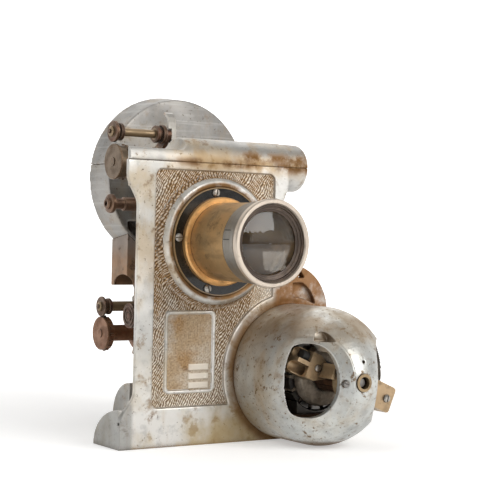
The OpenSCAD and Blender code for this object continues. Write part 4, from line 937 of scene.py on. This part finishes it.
def dull_brass_finish(name, first, second):
    metal = AgedMetal(name, 0.7, (0.34, 0.50), grain_scale=1500.0, grain_depth=0.00003, pits=0.2)
    metal.drift(first, second, 40.0)
    metal.lines(BRASS_SCRATCH, ALONG_BARREL, 0.50, 0.66, 0.45)
    metal.stains(BRASS_SCRATCH, 120.0, 0.54, 0.68, 0.6)
    metal.stains(BRASS_SPECK, 260.0, 0.62, 0.70, 0.5)
    metal.grime(BRASS_GREASE, 0.003, 0.18, 0.6, 0.95)
    # Bright edges: partly rubbed wear, partly a painted highlight.
    metal.edges(BRASS_EDGE, 0.0005, 0.5)
    return metal.finish()


tube_look = dull_brass_finish("dull_brass", (0.52, 0.325, 0.145), (0.38, 0.255, 0.125))
yoke_look = dull_brass_finish("yoke_brass", (0.50, 0.355, 0.215), (0.36, 0.26, 0.155))
bush_look = dull_brass_finish("bush_brass", (0.36, 0.26, 0.15), (0.27, 0.19, 0.11))
gear_look = dull_brass_finish("gear_brass", (0.36, 0.26, 0.13), (0.25, 0.18, 0.10))

# %% [markdown]
# Nickel plating wears through to the brass below, so its stains are warm. The screws are brighter
# than the levers, and get the same recipe with fainter stains.

# %% Nickel on the small parts
NICKEL_PALE = (0.42, 0.40, 0.365)
NICKEL_GREY = (0.31, 0.295, 0.27)
BRASS_THROUGH = (0.24, 0.14, 0.07)
NICKEL_GREASE = (0.05, 0.03, 0.02)
NICKEL_EDGE = (0.62, 0.54, 0.46)


def nickel_finish(name, warm):
    metal = AgedMetal(name, 0.88, (0.26, 0.38), grain_scale=1500.0, grain_depth=0.00001, pits=0.1)
    metal.drift(NICKEL_PALE, NICKEL_GREY, 60.0)
    metal.stains(BRASS_THROUGH, 90.0, 0.52, 0.68, warm)
    metal.grime(NICKEL_GREASE, 0.0025, 0.2, 0.7, 0.8)
    # Bright edges: partly rubbed wear, partly a painted highlight.
    metal.edges(NICKEL_EDGE, 0.0005, 0.55)
    return metal.finish()


nickel_look = nickel_finish("worn_nickel", 0.6)
screw_look = nickel_finish("bright_screw", 0.15)

# %% [markdown]
# The collar at the front of the lens is nickel too, darker and with turning lines. Its rolled rim,
# which hands touch, is paler. The rim isn't a part of its own, so a mask along the lens axis starts
# the pale tone just behind it.

# %% The collar's nickel
COLLAR_PALE = (0.30, 0.285, 0.26)
COLLAR_GREY = (0.24, 0.225, 0.20)
COLLAR_LINE = (0.17, 0.14, 0.11)
COLLAR_STAIN = (0.22, 0.15, 0.09)
COLLAR_GREASE = (0.04, 0.028, 0.02)
TURNED_COLLAR = (60.0, 900.0, 60.0)
RIM_START = (-0.0815, -0.0830)
RIM_PALE = (0.66, 0.57, 0.48)
RIM_STAIN = (0.30, 0.22, 0.16)


def collar_finish():
    metal = AgedMetal("collar_nickel", 0.85, (0.28, 0.40), grain_scale=1500.0, grain_depth=0.00001, pits=0.1)
    metal.drift(COLLAR_PALE, COLLAR_GREY, 40.0)
    metal.lines(COLLAR_LINE, TURNED_COLLAR, 0.46, 0.66, 0.4)
    metal.stains(COLLAR_STAIN, 130.0, 0.58, 0.68, 0.4)
    metal.lay(metal.axis_range("Y", *RIM_START), RIM_PALE, 0.85)
    metal.stains(RIM_STAIN, 160.0, 0.56, 0.68, 0.35)
    metal.grime(COLLAR_GREASE, 0.002, 0.2, 0.6, 0.85)
    return metal.finish()


collar_look = collar_finish()

# %% [markdown]
# Shafts, studs and the shutter are plain steel. It is greyer than nickel, because it has no plating,
# and it keeps its oil, which has gone brown in patches.

# %% Oiled steel
STEEL_PALE = (0.30, 0.29, 0.28)
STEEL_GREY = (0.20, 0.19, 0.18)
BROWN_OIL = (0.16, 0.09, 0.05)
STEEL_GREASE = (0.03, 0.02, 0.015)
STEEL_EDGE = (0.50, 0.49, 0.47)


def steel_finish():
    metal = AgedMetal("oiled_steel", 0.85, (0.32, 0.48), grain_scale=1400.0, grain_depth=0.00002, pits=0.2)
    metal.drift(STEEL_PALE, STEEL_GREY, 60.0)
    metal.stains(BROWN_OIL, 100.0, 0.54, 0.70, 0.5)
    metal.grime(STEEL_GREASE, 0.003, 0.2, 0.7, 0.8)
    metal.edges(STEEL_EDGE, 0.0004, 0.5)
    return metal.finish()


steel_look = steel_finish()

# %% [markdown]
# The lens ring is black enamel, so glossy that its roughness is near mirror. It has chipped to the brown
# primer round its outer rim, which a range of radii picks out. Its edges are lightened, partly as chipping
# and partly as a painted highlight.

# %% Black enamel
ENAMEL_BLACK = (0.004, 0.0038, 0.0035)
ENAMEL_WORN = (0.009, 0.008, 0.007)
ENAMEL_SPECK = (0.16, 0.10, 0.055)
ENAMEL_CHIP = (0.40, 0.27, 0.14)
ENAMEL_EDGE = (0.26, 0.17, 0.10)
CHIPPED_RADII = (0.0353, 0.0359)


def enamel_finish():
    paint = AgedMetal("black_enamel", 0.0, (0.10, 0.22), grain_scale=1500.0, grain_depth=0.00001, pits=0.2)
    paint.drift(ENAMEL_BLACK, ENAMEL_WORN, 60.0)
    paint.stains(ENAMEL_SPECK, 170.0, 0.60, 0.70, 0.8)
    paint.lay(paint.ring_range(ROUND_Y, LENS_AXIS, *CHIPPED_RADII), ENAMEL_CHIP, 0.85)
    # Lighter edges: partly chipped enamel, partly a painted highlight.
    paint.edges(ENAMEL_EDGE, 0.0006, 0.6)
    return paint.finish()


enamel_look = enamel_finish()

# %% [markdown]
# Two more pieces have a brown skin. The ring that holds the front glass is nearly black with age, and its
# steps are lighter, partly rubbed and partly a painted highlight. The guard under the drum is a flat brown
# paint that turns grey towards its top, where it meets the drum.

# %% Brown paints
RING_BROWN = (0.060, 0.038, 0.026)
RING_BLACK = (0.038, 0.025, 0.018)
RING_SPOT = (0.14, 0.095, 0.065)
RING_STEP = (0.26, 0.19, 0.14)
GUARD_RED = (0.40, 0.23, 0.125)
GUARD_BROWN = (0.27, 0.165, 0.10)
GUARD_GREY = (0.36, 0.34, 0.32)
GUARD_GREY_FADE = (0.118, 0.134)
GUARD_DUST = (0.36, 0.30, 0.24)
GUARD_SPOT = (0.09, 0.05, 0.03)
GUARD_DIRT = (0.05, 0.03, 0.02)
GUARD_EDGE = (0.45, 0.38, 0.30)


def ring_brown_finish():
    paint = AgedMetal("ring_brown", 0.35, (0.34, 0.50), grain_scale=1500.0, grain_depth=0.00002, pits=0.2)
    paint.drift(RING_BROWN, RING_BLACK, 70.0)
    paint.stains(RING_SPOT, 150.0, 0.55, 0.68, 0.6)
    # Lighter steps: partly rubbed, partly a painted highlight.
    paint.edges(RING_STEP, 0.0005, 0.7)
    return paint.finish()


def brown_paint_finish():
    paint = AgedMetal("brown_paint", 0.25, (0.45, 0.62), grain_scale=800.0, grain_depth=0.00006, pits=0.4)
    paint.drift(GUARD_RED, GUARD_BROWN, 42.0)
    paint.lay(paint.axis_range("Z", *GUARD_GREY_FADE), GUARD_GREY, 0.6)
    paint.stains(GUARD_DUST, 60.0, 0.50, 0.70, 0.6)
    paint.stains(GUARD_SPOT, 110.0, 0.56, 0.72, 0.8)
    paint.grime(GUARD_DIRT, 0.005, 0.2, 0.7, 0.8)
    # Lighter edges: partly rubbed paint, partly a painted highlight.
    paint.edges(GUARD_EDGE, 0.001, 0.5)
    return paint.finish()


ring_brown_look = ring_brown_finish()
brown_look = brown_paint_finish()

# %% [markdown]
# Inside the motor are coils of copper wire under dark varnish, and the windings of the armature,
# whose cotton cover is grey with carbon dust and quite matt. Real threads would be lost at this
# size, so lines in the colour stand for them.

# %% Wire and windings
VARNISH_RED = (0.14, 0.065, 0.03)
VARNISH_BLACK = (0.07, 0.035, 0.02)
COIL_SOOT = (0.01, 0.008, 0.006)
COTTON_BROWN = (0.34, 0.27, 0.20)
COTTON_GREY = (0.62, 0.53, 0.43)
THREAD = (0.42, 0.35, 0.29)
WINDING_SOOT = (0.012, 0.009, 0.007)
WOUND_THREADS = (90.0, 420.0, 160.0)


def wire_finish():
    wire = AgedMetal("varnished_wire", 0.35, (0.35, 0.5), grain_scale=1200.0, grain_depth=0.00003, pits=0.2)
    wire.drift(VARNISH_RED, VARNISH_BLACK, 120.0)
    wire.grime(COIL_SOOT, 0.004, 0.1, 0.6, 0.9)
    return wire.finish()


def dusty_winding_finish():
    dust = AgedMetal("dusty_winding", 0.0, (0.75, 0.95), grain_scale=1800.0, grain_depth=0.0003, pits=0.5)
    dust.drift(COTTON_BROWN, COTTON_GREY, 130.0, 0.38, 0.62)
    dust.lines(THREAD, WOUND_THREADS, 0.50, 0.66, 0.6)
    dust.grime(WINDING_SOOT, 0.004, 0.12, 0.55, 0.95)
    return dust.finish()


winding_look = dusty_winding_finish()
wire_look = wire_finish()

# %% [markdown]
# The carbon brushes and the round leather belt are matt and even. They need no wear, only two close
# tones each over a coarse grain.

# %% Carbon and leather
def matt_finish(name, first, second):
    soot = AgedMetal(name, 0.0, (0.6, 0.8), grain_scale=900.0, grain_depth=0.00004, pits=0.5)
    soot.drift(first, second, 90.0)
    return soot.finish()


carbon_look = matt_finish("carbon", (0.02, 0.02, 0.02), (0.035, 0.033, 0.03))
leather_look = matt_finish("belt_leather", (0.075, 0.040, 0.022), (0.045, 0.025, 0.015))

# %% [markdown]
# Lens glass is clear, polished and slightly brown with age. A Glass shader would do, but the
# Principled one with full transmission survives the export. Dust shows only as a faint change in
# roughness.

# %% Lens glass
OLD_GLASS = (0.70, 0.67, 0.61)
GLASS_IOR = 1.52

glass_look = bpy.data.materials.new("lens_glass")
glass_look.use_nodes = True
glass_tree = glass_look.node_tree
glass = glass_tree.nodes["Principled BSDF"]
glass.inputs["Transmission Weight"].default_value = 1.0
glass.inputs["IOR"].default_value = GLASS_IOR
glass.inputs["Base Color"].default_value = (*OLD_GLASS, 1)
glass_place = glass_tree.nodes.new("ShaderNodeTexCoord").outputs["Object"]
dust = place_effect(glass_tree, stain_patches, glass_place, Scale=90.0, Low=0.40, High=0.75)
haze = smooth_range(glass_tree, dust, 0.0, 1.0, 0.03, 0.06)
feed(glass_tree, glass.inputs["Roughness"], haze)
print("glass nodes:", len(glass_tree.nodes))

# %% [markdown]
# Each part needs a finish. Most take the one that goes with their material in the record, and a
# part with a finish of its own is named in a second table, which is looked at first.

# %% Which finish goes where
LOOKS = {
    "cast_alloy": frame_look,
    "painted_black": enamel_look,
    "bright_brass": bright_brass_look,
    "dull_brass": gear_look,
    "nickel": nickel_look,
    "bronze": roller_look,
    "rusty_brown": brown_look,
    "steel": steel_look,
    "copper": wire_look,
    "carbon": carbon_look,
    "glass": glass_look,
    "leather_belt": leather_look,
}
OWN_LOOKS = {
    "front_casting": front_look,
    "top_cover": cover_look,
    "drum_lower_shell": drum_look,
    "drum_upper_shell": drum_look,
    "motor_shell": motor_look,
    "lens_barrel": tube_look,
    "lens_collar": collar_look,
    "lens_retaining_ring": ring_brown_look,
    "nose_bush": bush_look,
    "armature_windings": winding_look,
    "brush_yoke": yoke_look,
    "ring_screws": screw_look,
    "yoke_screws": screw_look,
    "lower_sprocket": red_sprocket_look,
    "upper_sprocket": green_sprocket_look,
    "upper_pad_roller": upper_roller_look,
    "lower_pad_roller": lower_roller_look,
    "guide_roller": guide_look,
}
print("materials with a finish:", len(LOOKS), "parts with their own:", len(OWN_LOOKS))

# %% [markdown]
# The solids keep their meshes, and only the material changes. Whatever material a part had is taken
# out, and the finish is the only one left.

# %% Finishes on the parts
def give_look(thing, look):
    thing.data.materials.clear()
    thing.data.materials.append(look)


for name, thing in nodes.items():
    give_look(thing, OWN_LOOKS.get(name, LOOKS[slot_of[name]]))
print("finishes given:", len(nodes))

# %% [markdown]
# A casting has soft edges, because sand and metal can't hold a sharp one. A Bevel modifier tangles where so
# many cuts meet. So a copy of the solid is remeshed in small voxels and smoothed a little, which rounds
# every edge alike, and then thinned. The copy stands for the solid in the picture, while the solid stays
# underneath for the collision model, hidden.

# %% Helpers for softened castings
def remeshed(name, voxel, rounds, share):
    """A mesh made from a node's solid: voxels, then smoothing, then a share of the triangles."""
    helper = add_object(name + "_helper", nodes[name].data.copy())
    remesh = helper.modifiers.new("voxels", "REMESH")
    remesh.mode = "VOXEL"
    remesh.voxel_size = voxel
    relax = helper.modifiers.new("relax", "SMOOTH")
    relax.factor = 0.5
    relax.iterations = rounds
    if share < 1.0:
        fewer = helper.modifiers.new("fewer", "DECIMATE")
        fewer.ratio = share
    evaluated = helper.evaluated_get(bpy.context.evaluated_depsgraph_get())
    mesh = bpy.data.meshes.new_from_object(evaluated)
    bpy.data.objects.remove(helper)
    for polygon in mesh.polygons:
        polygon.use_smooth = True
    return mesh


def stand_for(name, mesh, body="frame"):
    thing = add_object(name + "_cast", mesh)
    give_look(thing, nodes[name].data.materials[0])
    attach(thing, body)
    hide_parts(name)
    print(name, "softened to", len(mesh.polygons), "faces")


print("helpers made: remeshed, stand_for")

# %% [markdown]
# The field inside the panel's border shows three narrow bars, and the solid has only two plain ones.
# They could be cut away with a Boolean, which is slow on a mesh this fine. It is enough to press
# their points flat in the softened copy. The finer bars come later, with the panel.

# %% The front casting
FRONT_OFFSET = 18
FIELD_FLOOR = 2.2 - FRONT_OFFSET
OLD_BARS = (-17.5, -0.4, 36.7, 52.8)


def flat_field(mesh):
    """Presses everything that stands proud inside OLD_BARS down to the field's floor."""
    left, right, low, high = OLD_BARS
    pressed = 0
    for point in mesh.vertices:
        x, y, z = (c / MM for c in point.co)
        if left < x < right and low < z < high and y < FIELD_FLOOR:
            point.co.y = FIELD_FLOOR * MM
            pressed += 1
    mesh.update()
    return pressed


front_mesh = remeshed("front_casting", 0.00055, 5, 0.35)
print("points pressed flat:", flat_field(front_mesh))
stand_for("front_casting", front_mesh)

# %% [markdown]
# The cover, both halves of the drum and the guard under it are softened in the same way. The drum
# has no fine detail, so larger voxels do there.

# %% The other castings
SOFT_CASTINGS = (
    ("top_cover", 0.00055, 4),
    ("drum_lower_shell", 0.0008, 3),
    ("drum_upper_shell", 0.0008, 3),
    ("belt_guard", 0.0006, 4),
)

for name, voxel, rounds in SOFT_CASTINGS:
    stand_for(name, remeshed(name, voxel, rounds, 0.35))

# %% [markdown]
# The motor's left window has a lip: the wall turns inwards before the opening. Its outline is a
# rounded oblong, a little wider than the hole. A curve drawn point by point would do, but a
# superellipse describes the outline in one formula.

# %% The outline of the motor's lip
LIP_CENTRE = (MOTOR[0] - 25.3, MOTOR[1] - 1.2)
LIP_HALF = (17.3, 28.8)
LIP_POWER = 2.7


def lip_place(x, z):
    """1 on the lip, less inside it and more outside."""
    across = abs(x - LIP_CENTRE[0]) / LIP_HALF[0]
    upright = abs(z - LIP_CENTRE[1]) / LIP_HALF[1]
    return (across ** LIP_POWER + upright ** LIP_POWER) ** (1 / LIP_POWER)


print("lip width and height in mm:", LIP_HALF[0] * 2, LIP_HALF[1] * 2)

# %% [markdown]
# Every point of the shell inside the lip moves back, further the nearer it is to the hole, and a low
# swelling just outside the lip catches the light. Both fade out towards the shell's left side, and
# the shell's rear and right side are left alone.

# %% The motor shell
LIP_DEPTH = 3.0
LIP_WIDTH = 0.36
LIP_REAR = -50
LIP_RIGHT = MOTOR[0] - 4
SWELL_HEIGHT = 0.6
SWELL_PLACE = 1.04
SWELL_WIDTH = 0.045
LEAST_SWELL = 0.01
SHELL_LEFT = MOTOR[0] - 44
SIDE_FADE = 12


def from_0_to_1(value):
    return min(max(value, 0), 1)


def dish_lip(mesh):
    moved = 0
    for point in mesh.vertices:
        x, y, z = (c / MM for c in point.co)
        if y > LIP_REAR or x > LIP_RIGHT:
            continue
        reach = lip_place(x, z)
        side = from_0_to_1((x - SHELL_LEFT) / SIDE_FADE)
        inward = LIP_DEPTH * from_0_to_1((1 - reach) / LIP_WIDTH) * side
        swell = SWELL_HEIGHT * math.exp(-(((reach - SWELL_PLACE) / SWELL_WIDTH) ** 2)) * side
        if inward or swell > LEAST_SWELL:
            point.co.y += (inward - swell) * MM
            moved += 1
    mesh.update()
    return moved


motor_mesh = remeshed("motor_shell", 0.00042, 5, 0.4)
print("points moved for the lip:", dish_lip(motor_mesh))
stand_for("motor_shell", motor_mesh)

# %% [markdown]
# The armature's windings are bundles of cotton-covered wire, lumpy and grey with carbon dust. They
# show only through the window, so single wires aren't needed. Noise in two sizes moves each point
# of the solid along its normal, until the bundle loses its turned look. The normals are noted down
# first, because Blender works them out anew after every move.

# %% Lumpy windings
WINDING_LUMP = 1.1
LUMP_LEVEL = 0.3
COARSE_LUMPS = 170.0
FINE_LUMPS = 700.0
COARSE_SHARE = 0.7
FINE_SHARE = 0.3


def lumpy(mesh):
    normals = [point.normal.copy() for point in mesh.vertices]
    for point, normal in zip(mesh.vertices, normals):
        coarse = noise.noise(point.co * COARSE_LUMPS)
        fine = noise.noise(point.co * FINE_LUMPS)
        lump = coarse * COARSE_SHARE + fine * FINE_SHARE - LUMP_LEVEL
        point.co += normal * lump * WINDING_LUMP * MM
    mesh.update()


winding_mesh = remeshed("armature_windings", 0.0006, 2, 1.0)
lumpy(winding_mesh)
stand_for("armature_windings", winding_mesh, "rotor")

# %% [markdown]
# The sunk panel covers the plate between the border, the motor's seat and the bead round the lens
# port. First come its bounds, as a test that says whether a point of the plate belongs to it. All
# of them are in millimetres, seen from the front.

# %% Where the panel is
PANEL = (-46.6, 47.7, 26.1, 183.6)
PANEL_CORNER = 5
LAND_R = 54.1
FLANK_R = 45.2
FLANK_TOP_R = 42.3
FIELD = (-37.0, 2.2, 35.4, 89.8)


def in_panel(x, z):
    left, right, low, high = PANEL
    if not (left < x < right and low < z < high):
        return False
    if math.hypot(x - MOTOR[0], z - MOTOR[1]) < LAND_R:
        return False
    if math.hypot(x, z - LENS_Z) < FLANK_TOP_R:
        return False
    corner_x = max(left + PANEL_CORNER - x, x - right + PANEL_CORNER, 0)
    corner_z = max(low + PANEL_CORNER - z, z - high + PANEL_CORNER, 0)
    return math.hypot(corner_x, corner_z) < PANEL_CORNER or corner_x == 0 or corner_z == 0


def in_field(x, z):
    return FIELD[0] < x < FIELD[1] and FIELD[2] < z < FIELD[3]


print("panel width and height in mm:", PANEL[1] - PANEL[0], PANEL[3] - PANEL[2])

# %% [markdown]
# The panel's pebbles were carved into the wooden model that the mould was pressed from. A
# displacement modifier needs an even mesh and a texture, so a formula is simpler: a cosine makes
# slanting ridges, a second one breaks them into lozenges, and slow noise makes the rows wander as a
# hand does.

# %% The pebbles
RIDGE_PITCH = 1.55
PEBBLE_LENGTH = 3.0
RIDGE_SLANT = (0.86, -0.50)
PEBBLE_SLANT = (0.55, 0.83)
WANDER_SCALE = 0.11
WANDER_ROWS = 1.2
JITTER_SCALE = 0.45
JITTER_ROWS = 0.35
JITTER_BREAKS = 0.7
BREAK_MIDDLE = 0.66
BREAK_DEPTH = 0.34
PEBBLE_SHARPNESS = 0.8


def pebble(x, z):
    """The height of the relief from 0 to 1: short slanting ridges whose lines wander."""
    wander = noise.noise(Vector((x * WANDER_SCALE, z * WANDER_SCALE, 3.0)))
    jitter = noise.noise(Vector((x * JITTER_SCALE, z * JITTER_SCALE, 9.0)))
    across = (x * RIDGE_SLANT[0] + z * RIDGE_SLANT[1]) / RIDGE_PITCH
    across = across + wander * WANDER_ROWS + jitter * JITTER_ROWS
    along = (x * PEBBLE_SLANT[0] + z * PEBBLE_SLANT[1]) / PEBBLE_LENGTH + jitter * JITTER_BREAKS
    ridge = 0.5 + 0.5 * math.cos(2 * math.pi * across)
    breaks = BREAK_MIDDLE + BREAK_DEPTH * math.cos(2 * math.pi * along)
    return (ridge * breaks) ** PEBBLE_SHARPNESS


print("ridges across the panel:", round((PANEL[1] - PANEL[0]) / RIDGE_PITCH))

# %% [markdown]
# The bare field inside the border has no pebbles, only the faint waves of a cast skin and three
# plain raised bars at its lower right. The bars could be boxes laid on top, but as part of the same
# grid they share its skin and its finish.

# %% The bare field
FIELD_BARS = (52.4, 46.3, 40.2)
BAR_SPAN = (-18.4, -3.2)
BAR_HALF = 1.9
SKIN_SCALE = 0.9
BAR_RELIEF = 0.9
SKIN_RELIEF = 0.36
SKIN_WAVES = 0.16


def on_bar(x, z):
    return BAR_SPAN[0] < x < BAR_SPAN[1] and any(abs(z - level) < BAR_HALF for level in FIELD_BARS)


def cast_skin(x, z):
    return noise.noise(Vector((x * SKIN_SCALE, z * SKIN_SCALE, 5.0)))


def field_relief(x, z):
    return BAR_RELIEF if on_bar(x, z) else SKIN_RELIEF + SKIN_WAVES * cast_skin(x, z)


print("bars:", len(FIELD_BARS), "each", BAR_HALF * 2, "mm high")

# %% [markdown]
# How deep a point lies behind the plate's face depends on where it is. In the field it lies on the
# cast skin or on a bar. Elsewhere the pebbles rise from the sunk ground, and near the lens port the
# panel climbs the bead's flank as well.

# %% The depth of the panel
PANEL_DEPTH = 2.1
RIDGE_HEIGHT = 0.68
FLANK_RISE = 4.9
FIELD_DEPTH = 2.0
SKIN_HEIGHT = 0.18
BAR_RISE = 1.1


def panel_height(x, z):
    if in_field(x, z):
        skin = FIELD_DEPTH - SKIN_HEIGHT * cast_skin(x, z)
        return skin - BAR_RISE if on_bar(x, z) else skin
    up_flank = from_0_to_1((FLANK_R - math.hypot(x, z - LENS_Z)) / (FLANK_R - FLANK_TOP_R))
    return PANEL_DEPTH - RIDGE_HEIGHT * pebble(x, z) - FLANK_RISE * up_flank


print("panel depth and ridge height in mm:", PANEL_DEPTH, RIDGE_HEIGHT)

# %% [markdown]
# Now the grid itself: a point every 0.37 mm, about four to a ridge, each set to its depth. Each point
# also keeps its relief for the finish, and the faces in the field get the bare finish, which is the
# second one.

# %% The pebbled panel
STEP = 0.37


def shape_middle(corners):
    return sum((corner.co for corner in corners), Vector()) / len(corners)


def pebbled_panel():
    mesh = bpy.data.meshes.new("pebbled_panel")
    shape = bmesh.new()
    relief = shape.verts.layers.float.new("relief")
    grid = {}
    columns = int((PANEL[1] - PANEL[0]) / STEP) + 1
    rows = int((PANEL[3] - PANEL[2]) / STEP) + 1
    for i in range(columns):
        for k in range(rows):
            x = PANEL[0] + i * STEP
            z = PANEL[2] + k * STEP
            if in_panel(x, z):
                y = panel_height(x, z) - FRONT_OFFSET
                grid[i, k] = shape.verts.new((x * MM, y * MM, z * MM))
                grid[i, k][relief] = field_relief(x, z) if in_field(x, z) else pebble(x, z)
    for i, k in grid:
        corners = [grid.get(c) for c in ((i, k), (i + 1, k), (i + 1, k + 1), (i, k + 1))]
        if all(corners):
            face = shape.faces.new(corners)
            face.smooth = True
            middle = shape_middle(corners)
            face.material_index = 1 if in_field(middle.x / MM, middle.z / MM) else 0
    shape.to_mesh(mesh)
    shape.free()
    return mesh


panel = add_object("pebbled_panel", pebbled_panel())
give_look(panel, panel_look)
panel.data.materials.append(bare_look)
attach(panel, "frame")
print("panel points:", len(panel.data.vertices))

# %% [markdown]
# Two short lines are engraved along the collar, as marks for the focus. An engraving this thin
# looks the same as a dark strip on the surface, so each mark is one: a few faces that follow the
# collar's round surface a hair above it. They slide with the lens.

# %% Focus marks on the collar
COLLAR_R = 26.6
MARK_ANGLES = (162.9, 176.0)
MARK_SPAN = (-50.6, -57.5)
MARK_WIDTH = 0.55
MARK_LIFT = 0.04
MARK_FACES = 4


def focus_mark(name, angle):
    mesh = bpy.data.meshes.new(name)
    shape = bmesh.new()
    rows = []
    lift = COLLAR_R + MARK_LIFT
    for k in range(MARK_FACES + 1):
        turned = math.radians(angle) + (k / MARK_FACES - 0.5) * MARK_WIDTH / COLLAR_R
        x = lift * math.cos(turned) * MM
        z = (LENS_Z + lift * math.sin(turned)) * MM
        rows.append([shape.verts.new((x, (y - FRONT_OFFSET) * MM, z)) for y in MARK_SPAN])
    for first, second in zip(rows, rows[1:]):
        shape.faces.new((first[0], first[1], second[1], second[0]))
    shape.to_mesh(mesh)
    shape.free()
    return mesh


for number, angle in enumerate(MARK_ANGLES):
    mark = add_object("focus_mark_%d" % number, focus_mark("focus_mark_%d" % number, angle))
    give_look(mark, carbon_look)
    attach(mark, "lens")
print("focus marks:", len(MARK_ANGLES))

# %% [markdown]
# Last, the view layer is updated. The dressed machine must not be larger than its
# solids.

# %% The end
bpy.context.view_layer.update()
